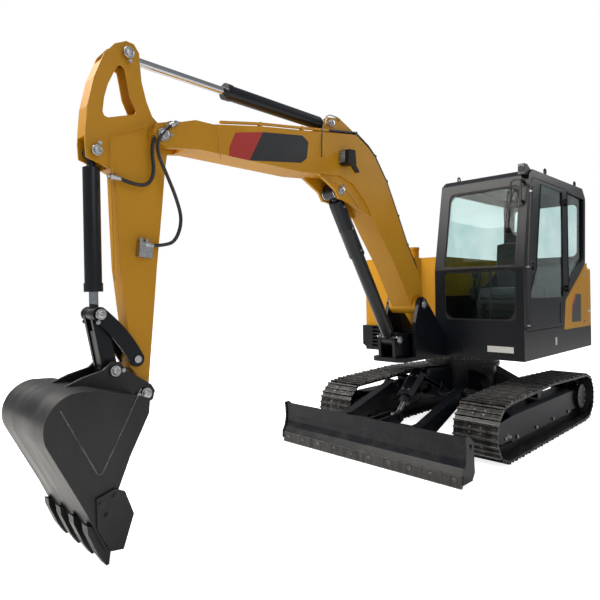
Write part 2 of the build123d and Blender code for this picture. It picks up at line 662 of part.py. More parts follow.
with BuildPart() as upper_frame:
    with BuildSketch(plan(DECK_LOW)):
        add(deck_plan(0))
        Circle(230, mode=Mode.SUBTRACT)
    extrude(amount=DECK_PLATE)
    with BuildSketch(plan(DECK_LOW)):
        add(deck_plan(0))
        add(deck_plan(SKIRT_WALL), mode=Mode.SUBTRACT)
    extrude(amount=DECK_TOP - DECK_LOW)
    with BuildSketch(plan(DECK_TOP - COVER_PLATE)):
        add(deck_plan(0))
    extrude(amount=COVER_PLATE)
    for cheek in (-1, 1):
        with BuildSketch(side(BRACKET_X + cheek * (BRACKET_HALF - BRACKET_PLATE / 2))):
            with BuildLine():
                Polyline((600, DECK_LOW), (600, DECK_TOP - 4), (DECK_FRONT - 8, DECK_TOP - 4), (-657, 1131),
                         (BOOM_FOOT[0] + 62, BOOM_FOOT[1] + 42))
                ThreePointArc(
                    (BOOM_FOOT[0] + 62, BOOM_FOOT[1] + 42), (BOOM_FOOT[0], BOOM_FOOT[1] + 75),
                    (BOOM_FOOT[0] - 75, BOOM_FOOT[1]),
                )
                Polyline((BOOM_FOOT[0] - 75, BOOM_FOOT[1]), (-1109, 1180), (-1109, DECK_LOW), (600, DECK_LOW))
            make_face()
            with Locations(BOOM_FOOT):
                Circle(FOOT_PIN + PIN_GAP, mode=Mode.SUBTRACT)
        extrude(amount=BRACKET_PLATE / 2, both=True)
        with BuildSketch(side(BRACKET_X + cheek * 82)):
            with BuildLine():
                Polyline((-900, DECK_LOW), (-900, 1060), (BOOM_CYL_FOOT[0] + 40, BOOM_CYL_FOOT[1] + 58))
                ThreePointArc(
                    (BOOM_CYL_FOOT[0] + 40, BOOM_CYL_FOOT[1] + 58), (BOOM_CYL_FOOT[0] - 40, BOOM_CYL_FOOT[1] + 57),
                    (BOOM_CYL_FOOT[0] - 68, BOOM_CYL_FOOT[1] - 10),
                )
                Polyline((BOOM_CYL_FOOT[0] - 68, BOOM_CYL_FOOT[1] - 10), (NOSE_FRONT + 20, DECK_LOW + 20),
                         (NOSE_FRONT + 20, DECK_LOW), (-900, DECK_LOW))
            make_face()
            with Locations(BOOM_CYL_FOOT):
                Circle(ARM_PIN + PIN_GAP, mode=Mode.SUBTRACT)
        extrude(amount=15, both=True)
    with BuildSketch(plan(DECK_LOW)):
        with Locations((BRACKET_X, (NOSE_FRONT + DECK_FRONT) / 2 + 20)):
            RectangleRounded(2 * BRACKET_HALF, DECK_FRONT - NOSE_FRONT + 40, 90)
    extrude(amount=40)
    with BuildSketch(side(BRACKET_X)):
        with Locations((-880, (DECK_LOW + 1090) / 2)):
            Rectangle(24, 1090 - DECK_LOW)
    extrude(amount=BRACKET_HALF - 5, both=True)
    with BuildSketch(plan(RING_TOP)):
        Circle(RING_RADIUS - 20)
        Circle(RING_RADIUS - 90, mode=Mode.SUBTRACT)
    extrude(amount=DECK_LOW - RING_TOP)
    with BuildSketch(front(DECK_FRONT)):
        with Locations((560, (DECK_LOW + DECK_TOP) / 2)):
            RectangleRounded(560, DECK_TOP - DECK_LOW - 70, 40)
    extrude(amount=-5, mode=Mode.SUBTRACT)
upper_frame.part.label = "upper_frame"
export_step(upper_frame.part, "parts/upper_frame.step")

with BuildPart() as upper_pins:
    with BuildSketch(side(BRACKET_X)):
        with Locations(BOOM_FOOT):
            Circle(FOOT_PIN)
    extrude(amount=BRACKET_HALF + 12, both=True)
    with BuildSketch(side(BRACKET_X)):
        with Locations(BOOM_CYL_FOOT):
            Circle(ARM_PIN)
    extrude(amount=108, both=True)
upper_pins.part.label = "upper_pins"
export_step(upper_pins.part, "parts/upper_pins.step")

# Counterweight, whose back follows the tail's swing
with BuildPart() as counterweight:
    with BuildSketch(plan(DECK_TOP)):
        add(tail_plan(SIDE_BACK + 4, 0))
    extrude(amount=COUNTERWEIGHT_TOP - DECK_TOP)
counterweight.part.label = "counterweight"
export_step(counterweight.part, "parts/counterweight.step")

with BuildPart() as side_cover:
    with BuildSketch(side(UPPER_HALF - 18)):
        with BuildLine():
            Polyline((510, DECK_TOP), (568, 1362), (1246, 1774), (SIDE_BACK, HOOD_TOP),
                     (SIDE_BACK, DECK_TOP), close=True)
        make_face()
    extrude(amount=18)
side_cover.part.label = "side_cover"
export_step(side_cover.part, "parts/side_cover.step")

# Rear hood: a shell over the engine that follows the tail's arc and lifts at its front edge
HOOD_WALL = 14
HOOD_BEVEL = 70
HOOD_START = SIDE_BACK + 5
with BuildPart() as engine_hood:
    with BuildSketch(plan(COUNTERWEIGHT_TOP)):
        add(tail_plan(HOOD_START, 0))
    extrude(amount=HOOD_TOP - COUNTERWEIGHT_TOP)
    chamfer(engine_hood.faces().sort_by(Axis.Z)[-1].edges().sort_by(Axis.Y)[1:], length=HOOD_BEVEL)
    with BuildSketch(plan(COUNTERWEIGHT_TOP)):
        add(tail_plan(HOOD_START, HOOD_WALL))
    extrude(amount=HOOD_TOP - HOOD_BEVEL - COUNTERWEIGHT_TOP, mode=Mode.SUBTRACT)
    with BuildSketch(plan(HOOD_TOP - HOOD_BEVEL)):
        add(tail_plan(HOOD_START, HOOD_WALL + 6))
    with BuildSketch(plan(HOOD_TOP - HOOD_WALL)):
        add(tail_plan(HOOD_START, HOOD_BEVEL + 6))
    loft(mode=Mode.SUBTRACT)
engine_hood.part.label = "engine_hood"
export_step(engine_hood.part, "parts/engine_hood.step")


def hood_plan(inset):
    """Outline of the right hood with its curved front, moved inwards by an inset."""
    with BuildSketch() as outline:
        with BuildLine():
            Polyline((-UPPER_HALF, SIDE_BACK), (-UPPER_HALF, DECK_FRONT + 20), (-470, DECK_FRONT + 20))
            ThreePointArc((-470, DECK_FRONT + 20), (-380, DECK_FRONT + 60), (-340, DECK_FRONT + 160))
            Polyline((-340, DECK_FRONT + 160), (-300, DECK_FRONT + 220), (CAB_IN - 20, DECK_FRONT + 220),
                     (CAB_IN - 20, SIDE_BACK), (-UPPER_HALF, SIDE_BACK))
        make_face()
        if inset:
            offset(amount=-inset, mode=Mode.REPLACE)
    return outline.sketch


# Right hood over the tanks, between the boom's bracket and the rear hood
with BuildPart() as right_hood:
    with BuildSketch(plan(DECK_TOP)):
        add(hood_plan(0))
    extrude(amount=RIGHT_HOOD_TOP - DECK_TOP)
    chamfer(right_hood.faces().sort_by(Axis.Z)[-1].edges().sort_by(Axis.X)[0:1], length=HOOD_WALL + 6)
    with BuildSketch(plan(DECK_TOP)):
        add(hood_plan(HOOD_WALL))
    extrude(amount=RIGHT_HOOD_TOP - DECK_TOP - HOOD_WALL, mode=Mode.SUBTRACT)
right_hood.part.label = "right_hood"
export_step(right_hood.part, "parts/right_hood.step")

with BuildPart() as filler_neck:
    with BuildSketch(plan(RIGHT_HOOD_TOP)):
        with Locations((-600, -20)):
            Circle(62)
    extrude(amount=120)
    with BuildSketch(plan(RIGHT_HOOD_TOP + 120)):
        with Locations((-600, -20)):
            Circle(68)
    extrude(amount=32)
filler_neck.part.label = "filler_neck"
export_step(filler_neck.part, "parts/filler_neck.step")

# Engine, a plain block at its real place
with BuildPart() as engine:
    with BuildSketch(plan(DECK_TOP)):
        with Locations((-320, 960)):
            Rectangle(460, 420)
    extrude(amount=330)
engine.part.label = "engine"
export_step(engine.part, "parts/engine.step")

# Front right box with its louvres
BOX_TOP = 1113
with BuildPart() as grille_box:
    with BuildSketch(front(DECK_FRONT + 10)):
        with BuildLine():
            Polyline((-UPPER_HALF, BOX_TOP - 20), (-UPPER_HALF, 880), (-UPPER_HALF + 70, DECK_LOW + 18),
                     (-320, DECK_LOW + 18), (-320, BOX_TOP - 20), close=True)
        make_face()
    extrude(amount=60)
    for slot in range(6):
        with BuildSketch(front(DECK_FRONT + 10 - 60)):
            with Locations((-600, 870 + slot * 40)):
                Rectangle(380, 22)
        extrude(amount=-48, mode=Mode.SUBTRACT)
grille_box.part.label = "grille_box"
export_step(grille_box.part, "parts/grille_box.step")

# Cab
CAB_OUT = UPPER_HALF
CAB_FLOOR = DECK_TOP + CAB_WALL
HINGE_X = CAB_OUT + 16
HINGE_ZS = (1490, 2420)
KNUCKLE = 14
KNUCKLE_HALF = 36
HINGE_PIN = 8
SCREEN_IN = 106
SCREEN_OUT = CAB_OUT - 76
SCREEN_LOW = 1185
SCREEN_BAR = 1685
SCREEN_TOP = 2490
PANE = 6
PANE_LAP = 14
DOOR_GLASS = [
    (-400, 1400), (-400, 1450), (-235, 1700), (-225, 1800), (-90, CAB_TOP - 110), (HINGE_Y - 80, CAB_TOP - 120),
    (HINGE_Y - 95, 1400),
]
CAB_PROFILE = [
    (DECK_FRONT, DECK_TOP), (DECK_FRONT, 1690), (-385, CAB_TOP - 60), (-300, CAB_TOP), (CAB_BACK - 110, CAB_TOP + 10),
    (CAB_BACK, CAB_TOP - 100), (1242, 1790), (560, 1374), (502, DECK_TOP),
]
QUARTER_WINDOW = [(660, 1520), (1180, 1835), (1215, CAB_TOP - 110), (660, CAB_TOP - 80)]
RIGHT_WINDOW = [
    (-460, 1420), (-460, 1690), (-310, CAB_TOP - 120), (1160, CAB_TOP - 100), (1150, 1850), (560, 1500), (440, 1420),
]
with BuildPart() as cab_frame:
    with BuildSketch(side(CAB_IN)):
        with BuildLine():
            Polyline(*CAB_PROFILE, close=True)
        make_face()
    extrude(amount=CAB_OUT - CAB_IN)
    with BuildSketch(side(CAB_IN + CAB_WALL)):
        with BuildLine():
            Polyline(*CAB_PROFILE, close=True)
        make_face()
        offset(amount=-CAB_WALL, kind=Kind.INTERSECTION, mode=Mode.REPLACE)
    extrude(amount=CAB_OUT - CAB_IN - 2 * CAB_WALL, mode=Mode.SUBTRACT)
    with BuildSketch(front(DECK_FRONT - 10)):
        with Locations(((SCREEN_IN + SCREEN_OUT) / 2, (SCREEN_BAR + 15 + SCREEN_TOP) / 2)):
            RectangleRounded(SCREEN_OUT - SCREEN_IN, SCREEN_TOP - SCREEN_BAR - 15, 60)
        with Locations(((SCREEN_IN + SCREEN_OUT) / 2, (SCREEN_LOW + SCREEN_BAR - 15) / 2)):
            RectangleRounded(SCREEN_OUT - SCREEN_IN, SCREEN_BAR - 15 - SCREEN_LOW, 60)
    extrude(amount=-300, mode=Mode.SUBTRACT)
    with BuildSketch(front(CAB_BACK + 20)):
        with Locations(((CAB_IN + CAB_OUT) / 2, 2180)):
            RectangleRounded(CAB_OUT - CAB_IN - 180, 620, 60)
    extrude(amount=200, mode=Mode.SUBTRACT)
    with BuildSketch(side(CAB_OUT - CAB_WALL)):
        with BuildLine():
            Polyline((DECK_FRONT + 50, 1085), (DECK_FRONT + 50, 1690), (-330, CAB_TOP - 110), (-280, CAB_TOP - 75),
                     (HINGE_Y - 20, CAB_TOP - 75), (HINGE_Y - 20, 1440), (470, 1330), (440, 1085), close=True)
        make_face()
        with BuildLine():
            Polyline(*QUARTER_WINDOW, close=True)
        make_face()
    extrude(amount=CAB_WALL, mode=Mode.SUBTRACT)
    with BuildSketch(side(CAB_IN)):
        with BuildLine():
            Polyline(*RIGHT_WINDOW, close=True)
        make_face()
    extrude(amount=CAB_WALL, mode=Mode.SUBTRACT)
    for z in HINGE_ZS:
        with BuildSketch(plan(z - KNUCKLE_HALF)):
            with Locations((HINGE_X, HINGE_Y)):
                Circle(HINGE_PIN)
        extrude(amount=2 * KNUCKLE_HALF)
        for start in (z - KNUCKLE_HALF, z + KNUCKLE_HALF / 3):
            with BuildSketch(plan(start)):
                with Locations((HINGE_X, HINGE_Y)):
                    Circle(KNUCKLE)
                with Locations(((CAB_OUT + HINGE_X) / 2, HINGE_Y + 25)):
                    Rectangle(HINGE_X - CAB_OUT, 50)
            extrude(amount=KNUCKLE_HALF * 2 / 3)
cab_frame.part.label = "cab_frame"
export_step(cab_frame.part, "parts/cab_frame.step")

with BuildPart() as cab_door:
    with BuildSketch(side(CAB_OUT - CAB_WALL)):
        with BuildLine():
            Polyline((DECK_FRONT + 56, 1091), (DECK_FRONT + 56, 1689), (-325, CAB_TOP - 114), (-278, CAB_TOP - 81),
                     (HINGE_Y - 26, CAB_TOP - 81), (HINGE_Y - 26, 1443), (464, 1334), (434, 1091), close=True)
        make_face()
        with BuildLine():
            Polyline(*DOOR_GLASS, close=True)
        make_face(mode=Mode.SUBTRACT)
    extrude(amount=CAB_WALL)
    with BuildSketch(side(CAB_OUT - 4)):
        with BuildLine():
            Polyline((DECK_FRONT + 120, 1130), (DECK_FRONT + 120, 1340), (410, 1340), (395, 1130), close=True)
        make_face()
    extrude(amount=4, mode=Mode.SUBTRACT)
    for z in HINGE_ZS:
        with BuildSketch(plan(z - KNUCKLE_HALF / 3 + SEAT_GAP)):
            with Locations((HINGE_X, HINGE_Y)):
                Circle(KNUCKLE)
            with Locations(((CAB_OUT + HINGE_X) / 2, HINGE_Y - 40)):
                Rectangle(HINGE_X - CAB_OUT, 80)
            with Locations((HINGE_X, HINGE_Y)):
                Circle(HINGE_PIN + PIN_GAP, mode=Mode.SUBTRACT)
        extrude(amount=KNUCKLE_HALF * 2 / 3 - 2 * SEAT_GAP)
cab_door.part.label = "cab_door"
export_step(cab_door.part, "parts/cab_door.step")

with BuildPart() as door_glass:
    with BuildSketch(side(CAB_OUT - CAB_WALL / 2 - PANE / 2)):
        with BuildLine():
            Polyline(*DOOR_GLASS, close=True)
        make_face()
        offset(amount=-SEAT_GAP, kind=Kind.INTERSECTION, mode=Mode.REPLACE)
    extrude(amount=PANE)
door_glass.part.label = "door_glass"
export_step(door_glass.part, "parts/door_glass.step")



def pane(start, end, near, far):
    """Corners of a pane on the inner face of the cab wall that runs between two side points."""
    length = reach(start, end)
    dy = (end[0] - start[0]) / length
    dz = (end[1] - start[1]) / length
    corners = [(near, CAB_WALL), (far, CAB_WALL), (far, CAB_WALL + PANE), (near, CAB_WALL + PANE)]
    return [(start[0] + t * dy + o * dz, start[1] + t * dz - o * dy) for t, o in corners]


# Fixed panes, each on the inner face of its wall
SCREEN_PANES = [
    (CAB_PROFILE[0], CAB_PROFILE[1], SCREEN_LOW - PANE_LAP - DECK_TOP, SCREEN_BAR - 10 - DECK_TOP),
    (CAB_PROFILE[1], CAB_PROFILE[2], 3, 830),
]
with BuildPart() as cab_glass:
    for start, end, near, far in SCREEN_PANES:
        with BuildSketch(side(SCREEN_IN - PANE_LAP)):
            with BuildLine():
                Polyline(*pane(start, end, near, far), close=True)
            make_face()
        extrude(amount=SCREEN_OUT - SCREEN_IN + 2 * PANE_LAP)
    with BuildSketch(side(CAB_IN + 90 - PANE_LAP)):
        with BuildLine():
            Polyline(*pane(CAB_PROFILE[5], CAB_PROFILE[6], 36, 686), close=True)
        make_face()
    extrude(amount=CAB_OUT - CAB_IN - 180 + 2 * PANE_LAP)
    with BuildSketch(side(CAB_OUT - CAB_WALL)):
        with BuildLine():
            Polyline(*QUARTER_WINDOW, close=True)
        make_face()
        offset(amount=PANE_LAP, kind=Kind.INTERSECTION, mode=Mode.REPLACE)
    extrude(amount=-PANE)
    with BuildSketch(side(CAB_IN + CAB_WALL)):
        with BuildLine():
            Polyline(*RIGHT_WINDOW, close=True)
        make_face()
        offset(amount=PANE_LAP, kind=Kind.INTERSECTION, mode=Mode.REPLACE)
    extrude(amount=PANE)
cab_glass.part.label = "cab_glass"
export_step(cab_glass.part, "parts/cab_glass.step")

# Grab rail, work lamp and a wire loop at the front of the cab
RAIL_TUBE = 15
RAIL_X = CAB_OUT + 44
RAIL_PATH = [
    (CAB_OUT - 10, DECK_FRONT + 18, 1116), (RAIL_X, DECK_FRONT + 8, 1140), (RAIL_X, DECK_FRONT + 11, SCREEN_BAR),
    (RAIL_X, -440, 2440), (CAB_OUT - 10, -379, 2474),
]


def screen_y(z):
    """Place of the sloping front face at a height."""
    low, high = CAB_PROFILE[1], CAB_PROFILE[2]
    return low[0] + (z - low[1]) * (high[0] - low[0]) / (high[1] - low[1])


def in_frame(point):
    """Point of the part from one measured from the slewing axis."""
    return (point[0], SLEW_Y + point[1], point[2])


with BuildPart() as cab_fittings:
    corners = [Vector(*in_frame(point)) for point in RAIL_PATH]
    for start, end in zip(corners, corners[1:]):
        with BuildSketch(Plane(origin=start, z_dir=end - start)):
            Circle(RAIL_TUBE)
        extrude(amount=(end - start).length)
    with Locations(*corners[1:-1]):
        Sphere(RAIL_TUBE)
    with BuildSketch(side(CAB_OUT)):
        with Locations((DECK_FRONT, (DECK_TOP + CAB_TOP) / 2)):
            Rectangle(600, CAB_TOP)
    extrude(amount=-60, mode=Mode.SUBTRACT)
    with BuildSketch(side(CAB_OUT - 80)):
        with BuildLine():
            Polyline(CAB_PROFILE[2], CAB_PROFILE[3], (-365, CAB_TOP + 25), (-372, CAB_TOP + 36), (-450, CAB_TOP + 36),
                     (-450, CAB_TOP - 66), (-400, CAB_TOP - 66), close=True)
        make_face()
    extrude(amount=64)
    with BuildSketch(front(-450)):
        with Locations((CAB_OUT - 48, CAB_TOP - 15)):
            Circle(30)
    extrude(amount=8)
    with BuildSketch(side(CAB_OUT - 54)):
        with BuildLine():
            Polyline((screen_y(2303), 2303), (screen_y(2334), 2334), (-478, 2334), (-478, 2310), close=True)
        make_face()
        with BuildLine():
            Polyline((screen_y(2496), 2496), (screen_y(2527), 2527), (-478, 2527), (-478, 2503), close=True)
        make_face()
    extrude(amount=14)
    with BuildSketch(front(-472)):
        with Locations((CAB_OUT - 90, 2415)):
            RectangleRounded(110, 230, 40)
            RectangleRounded(88, 208, 30, mode=Mode.SUBTRACT)
    extrude(amount=12)
cab_fittings.part.label = "cab_fittings"
export_step(cab_fittings.part, "parts/cab_fittings.step")

# Consoles with their control levers beside the seat, and two travel levers
with BuildPart() as consoles:
    for sx in (-1, 1):
        with BuildSketch(side(463 + sx * 284)):
            with BuildLine():
                Polyline((-60, 1380), (-70, 1500), (20, 1530), (380, 1500), (400, CAB_FLOOR), (120, CAB_FLOOR),
                         (60, 1380), close=True)
            make_face()
        extrude(amount=34, both=True)
        with BuildSketch(plan(1505)):
            with Locations((463 + sx * 284, -30)):
                Circle(9)
        extrude(amount=110)
        with BuildSketch(plan(1610)):
            with Locations((463 + sx * 284, -30)):
                RectangleRounded(44, 54, 20)
        extrude(amount=95)
        with BuildSketch(plan(CAB_FLOOR)):
            with Locations((463 + sx * 60, -375)):
                RectangleRounded(50, 60, 10)
        extrude(amount=30)
        with BuildSketch(plan(CAB_FLOOR)):
            with Locations((463 + sx * 60, -375)):
                Circle(9)
        extrude(amount=560)
        with BuildSketch(plan(CAB_FLOOR + 520)):
            with Locations((463 + sx * 60, -375)):
                Circle(18)
        extrude(amount=110)
consoles.part.label = "consoles"
export_step(consoles.part, "parts/consoles.step")

# Door handle: a ring plate with its lever
with BuildPart() as door_handle:
    with BuildSketch(side(CAB_OUT)):
        with Locations((-370, 1700)):
            RectangleRounded(130, 120, 24)
            RectangleRounded(92, 72, 18, mode=Mode.SUBTRACT)
    extrude(amount=12)
    with BuildSketch(side(CAB_OUT)):
        with Locations((-370, 1712)):
            Rectangle(100, 22)
    extrude(amount=8)
door_handle.part.label = "door_handle"
export_step(door_handle.part, "parts/door_handle.step")

with BuildPart() as seat:
    with BuildSketch(plan(CAB_FLOOR)):
        with Locations((463, 190)):
            RectangleRounded(400, 400, 40)
    extrude(amount=330)
    with BuildSketch(plan(CAB_FLOOR + 330)):
        with Locations((463, 170)):
            RectangleRounded(480, 480, 70)
    extrude(amount=110)
    with BuildSketch(front(470)):
        with Locations((463, CAB_FLOOR + 730)):
            RectangleRounded(460, 660, 80)
    extrude(amount=110)
seat.part.label = "operator_seat"
export_step(seat.part, "parts/operator_seat.step")

# Boom: a hollow cranked box with a fork at the arm and a bracket for the arm cylinder
BOOM_OUT = [
    (-85, 40), (-60, -60), (20, -85), (483, 232), (768, 387), (954, 496), (1100, 571), (1277, 625), (1442, 611),
    (1849, 407), (2729, 57), (2921, -55), (2985, -62), (3042, -20), (3045, 40), (2990, 85), (2898, 150),
    (2815, 220), (2691, 272), (2338, 496), (1965, 712), (1390, 1046), (1200, 1035), (1084, 1003), (851, 879),
    (574, 663), (334, 473), (62, 303), (-60, 150),
]
with BuildPart() as boom:
    with BuildSketch(link_plane(BOOM, BRACKET_X)):
        with BuildLine():
            Polyline(*BOOM_OUT, close=True)
        make_face()
    extrude(amount=BOOM_WIDTH / 2, both=True)
    with BuildSketch(link_plane(BOOM, BRACKET_X)):
        with BuildLine():
            Polyline((150, 130), (483, 232 + 30), (768, 387 + 16), (954, 496 + 15), (1100, 571 + 15),
                     (1277, 625 + 14), (1442, 611 + 14), (1849, 407 + 14), (2650, 105), (2650, 270),
                     (2338, 496 - 15), (1965, 712 - 15), (1390, 1046 - 15), (1200, 1035 - 15), (1084, 1003 - 16),
                     (851, 879 - 16), (574, 663 - 17), (334, 473 - 18), (170, 350), close=True)
        make_face()
    extrude(amount=BOOM_WIDTH / 2 - BOOM_PLATE, both=True, mode=Mode.SUBTRACT)
    with BuildSketch(link_plane(BOOM, BRACKET_X)):
        with Locations((BOOM_CYL_UV[0] - 30, BOOM_CYL_UV[1] + 110)):
            Rectangle(250, 130)
    extrude(amount=64 + CHEEK_GAP, both=True, mode=Mode.SUBTRACT)
    with BuildSketch(link_plane(BOOM, BRACKET_X)):
        with Locations((0, 0)):
            Circle(88)
    extrude(amount=BRACKET_HALF - BRACKET_PLATE - CHEEK_GAP, both=True)
    with BuildSketch(link_plane(BOOM, BRACKET_X)):
        with BuildLine():
            Polyline((2790, -140), (2790, 300), (3200, 300), (3200, -140), close=True)
        make_face()
    extrude(amount=ARM_WIDTH / 2 + 22, both=True, mode=Mode.SUBTRACT)
    for cheek in (-1, 1):
        with BuildSketch(link_plane(BOOM, BRACKET_X + cheek * 62)):
            with BuildLine():
                Polyline((1300, 1000), (1400, 1086), (1600, 1090), (ARM_CYL_UV[0], ARM_CYL_UV[1] + 55),
                         (ARM_CYL_UV[0] + 50, ARM_CYL_UV[1] + 25), (ARM_CYL_UV[0] + 45, ARM_CYL_UV[1] - 50),
                         (1780, 800), (1500, 930), close=True)
            make_face()
        extrude(amount=11, both=True)
        with BuildSketch(link_plane(BOOM, BRACKET_X + cheek * 92)):
            with BuildLine():
                Polyline((950, 480), (BOOM_CYL_UV[0] - 60, BOOM_CYL_UV[1] - 55), (BOOM_CYL_UV[0], BOOM_CYL_UV[1] - 75),
                         (BOOM_CYL_UV[0] + 70, BOOM_CYL_UV[1] - 30), (1700, 500), (1600, 560), (1442, 640),
                         (1277, 650), (1100, 600), close=True)
            make_face()
        extrude(amount=12, both=True)
    with BuildSketch(link_plane(BOOM, BRACKET_X)):
        with Locations((0, 0)):
            Circle(FOOT_PIN + PIN_GAP)
        with Locations((BOOM_LENGTH, 0)):
            Circle(ARM_PIN + PIN_GAP)
        with Locations(ARM_CYL_UV):
            Circle(BUCKET_PIN + PIN_GAP)
    extrude(amount=BRACKET_HALF, both=True, mode=Mode.SUBTRACT)
boom.part.label = "boom"
export_step(boom.part, "parts/boom.step")

with BuildPart() as boom_pins:
    with BuildSketch(link_plane(BOOM, BRACKET_X)):
        with Locations((BOOM_LENGTH, 0)):
            Circle(ARM_PIN)
    extrude(amount=BOOM_WIDTH / 2 + 10, both=True)
    with BuildSketch(link_plane(BOOM, BRACKET_X)):
        with Locations(ARM_CYL_UV):
            Circle(BUCKET_PIN)
    extrude(amount=86, both=True)
boom_pins.part.label = "boom_pins"
export_step(boom_pins.part, "parts/boom_pins.step")

# Two pipes along the top of the boom, held by clamps, and a work lamp on its side
PIPE = 11
PIPE_LIFT = 24
PIPE_X = 100
PIPE_RUN = [
    (2640, 303), (2338, 496), (1965, 712), (1390, 1046), (1200, 1035), (1084, 1003), (851, 879), (574, 663), (334, 473),
    (180, 373),
]
with BuildPart() as boom_pipes:
    for cheek in (-1, 1):
        across = link_plane(BOOM, BRACKET_X + cheek * PIPE_X)
        with BuildLine(across) as pipe_line:
            Polyline(*[(u, v + PIPE_LIFT) for u, v in PIPE_RUN])
        with BuildSketch(Plane(origin=pipe_line.line @ 0, z_dir=pipe_line.line % 0)):
            Circle(PIPE)
        sweep(path=pipe_line.line, transition=Transition.ROUND)
    for u, v in ((2338, 496), (1965, 712), (1390, 1046), (1084, 1003), (851, 879), (574, 663), (334, 473)):
        for cheek in (-1, 1):
            with BuildSketch(link_plane(BOOM, BRACKET_X + cheek * PIPE_X)):
                with Locations((u, v + PIPE_LIFT / 2 + 4)):
                    Rectangle(26, PIPE_LIFT + 8)
            extrude(amount=14, both=True)
    with BuildSketch(link_plane(BOOM, BRACKET_X)):
        with BuildLine():
            Polyline(*BOOM_OUT, close=True)
        make_face()
    extrude(amount=BOOM_WIDTH / 2 + 5, both=True, mode=Mode.SUBTRACT)
boom_pipes.part.label = "boom_pipes"
export_step(boom_pipes.part, "parts/boom_pipes.step")

LAMP_X = BRACKET_X + BOOM_WIDTH / 2
with BuildPart() as boom_lamp:
    with BuildSketch(side(LAMP_X)):
        with BuildLine():
            Polyline((-1850, 2513), (-1890, 2560), (-1960, 2600), (-2040, 2600), (-2040, 2560), (-1960, 2550),
                     (-1900, 2500), close=True)
        make_face()
    extrude(amount=10)
    with BuildSketch(side(LAMP_X + 2)):
        with BuildLine():
            Polyline((-2010, 2535), (-2020, 2655), (-2100, 2650), (-2112, 2540), (-2080, 2530), close=True)
        make_face()
    extrude(amount=100)
boom_lamp.part.label = "boom_lamp"
export_step(boom_lamp.part, "parts/boom_lamp.step")

# Arm: a tapered hollow box with tall ears for its cylinder
EAR_HALF = ARM_WIDTH / 2
ARM_BOSS = 82
ARM_WINDOW = [
    (-354, 265), (-342, 240), (-279, 221), (-189, 196), (-111, 151), (-91, 159), (-22, 318), (-26, 340),
    (-47, 352), (-130, 349), (-214, 333), (-293, 304), (-335, 286),
]
with BuildPart() as arm:
    with BuildSketch(link_plane(ARM, BRACKET_X)):
        with BuildLine():
            Polyline(
                (-508, 195), (-508, 243), (-465, 310), (-384, 367), (-225, 415), (-51, 440), (58, 440),
                (150, 438), (235, 425), (270, 290), (282, 252), (499, 226), (832, 183), (957, 156),
                (ARM_LENGTH - 250, 84), (ARM_LENGTH - 150, 80), (ARM_LENGTH - 110, 40), (ARM_LENGTH + 20, 62),
                (ARM_LENGTH + 62, 0), (ARM_LENGTH + 20, -62), (ARM_LENGTH - 49, -46), (808, -50), (446, -59),
                (206, -62), (60, -72), (-40, -60), (-112, 47), (-192, 91), (-298, 130), (-408, 150),
                (-465, 157), close=True,
            )
        make_face()
    extrude(amount=EAR_HALF, both=True)
    with BuildSketch(link_plane(ARM, BRACKET_X)):
        with BuildLine():
            Polyline((120, 250), (230, 240), (499, 214), (832, 171), (957, 144), (ARM_LENGTH - 280, 90),
                     (ARM_LENGTH - 280, -34), (808, -38), (446, -47), (206, -50), (120, -40), close=True)
        make_face()
        with BuildLine():
            Polyline((-620, -40), (-620, 450), (-345, 450), (-345, 363), (-222, 401), (-50, 427),
                     (10, 427), (-12, 335), (-88, 150), (-112, 64), (-196, 108), (-215, 50), close=True)
        make_face()
        with BuildLine():
            Polyline((BUCKET_CYL_UV[0] - 75, 470), (BUCKET_CYL_UV[0] - 75, 300), (BUCKET_CYL_UV[0] + 150, 290),
                     (BUCKET_CYL_UV[0] + 150, 470), close=True)
        make_face()
    extrude(amount=EAR_HALF - ARM_PLATE, both=True, mode=Mode.SUBTRACT)
    with BuildSketch(link_plane(ARM, BRACKET_X)):
        with BuildLine():
            Polyline(*ARM_WINDOW, close=True)
        make_face()
    extrude(amount=EAR_HALF + 5, both=True, mode=Mode.SUBTRACT)
    with BuildSketch(link_plane(ARM, BRACKET_X)):
        Circle(72)
    extrude(amount=ARM_WIDTH / 2 + 20, both=True)
    with BuildSketch(link_plane(ARM, BRACKET_X)):
        with Locations((ARM_LENGTH, 0)):
            Circle(55)
    extrude(amount=ARM_BOSS, both=True)
    with BuildSketch(link_plane(ARM, BRACKET_X)):
        with Locations(ROCKER_UV):
            Circle(36)
    extrude(amount=ARM_WIDTH / 2 + 5, both=True)
    with BuildSketch(link_plane(ARM, BRACKET_X)):
        Circle(ARM_PIN + PIN_GAP)
        with Locations((ARM_LENGTH, 0)):
            Circle(BUCKET_PIN + PIN_GAP)
        with Locations(ROCKER_UV, BUCKET_CYL_UV):
            Circle(SMALL_PIN + PIN_GAP)
    extrude(amount=BRACKET_HALF, both=True, mode=Mode.SUBTRACT)
arm.part.label = "arm"
export_step(arm.part, "parts/arm.step")

with BuildPart() as arm_pins:
    with BuildSketch(link_plane(ARM, BRACKET_X)):
        with Locations(BUCKET_CYL_UV):
            Circle(SMALL_PIN)
    extrude(amount=ARM_WIDTH / 2 + 14, both=True)
    with BuildSketch(link_plane(ARM, BRACKET_X)):
        with Locations(ROCKER_UV):
            Circle(SMALL_PIN)
    extrude(amount=ARM_WIDTH / 2 + 36, both=True)
arm_pins.part.label = "arm_pins"
export_step(arm_pins.part, "parts/arm_pins.step")

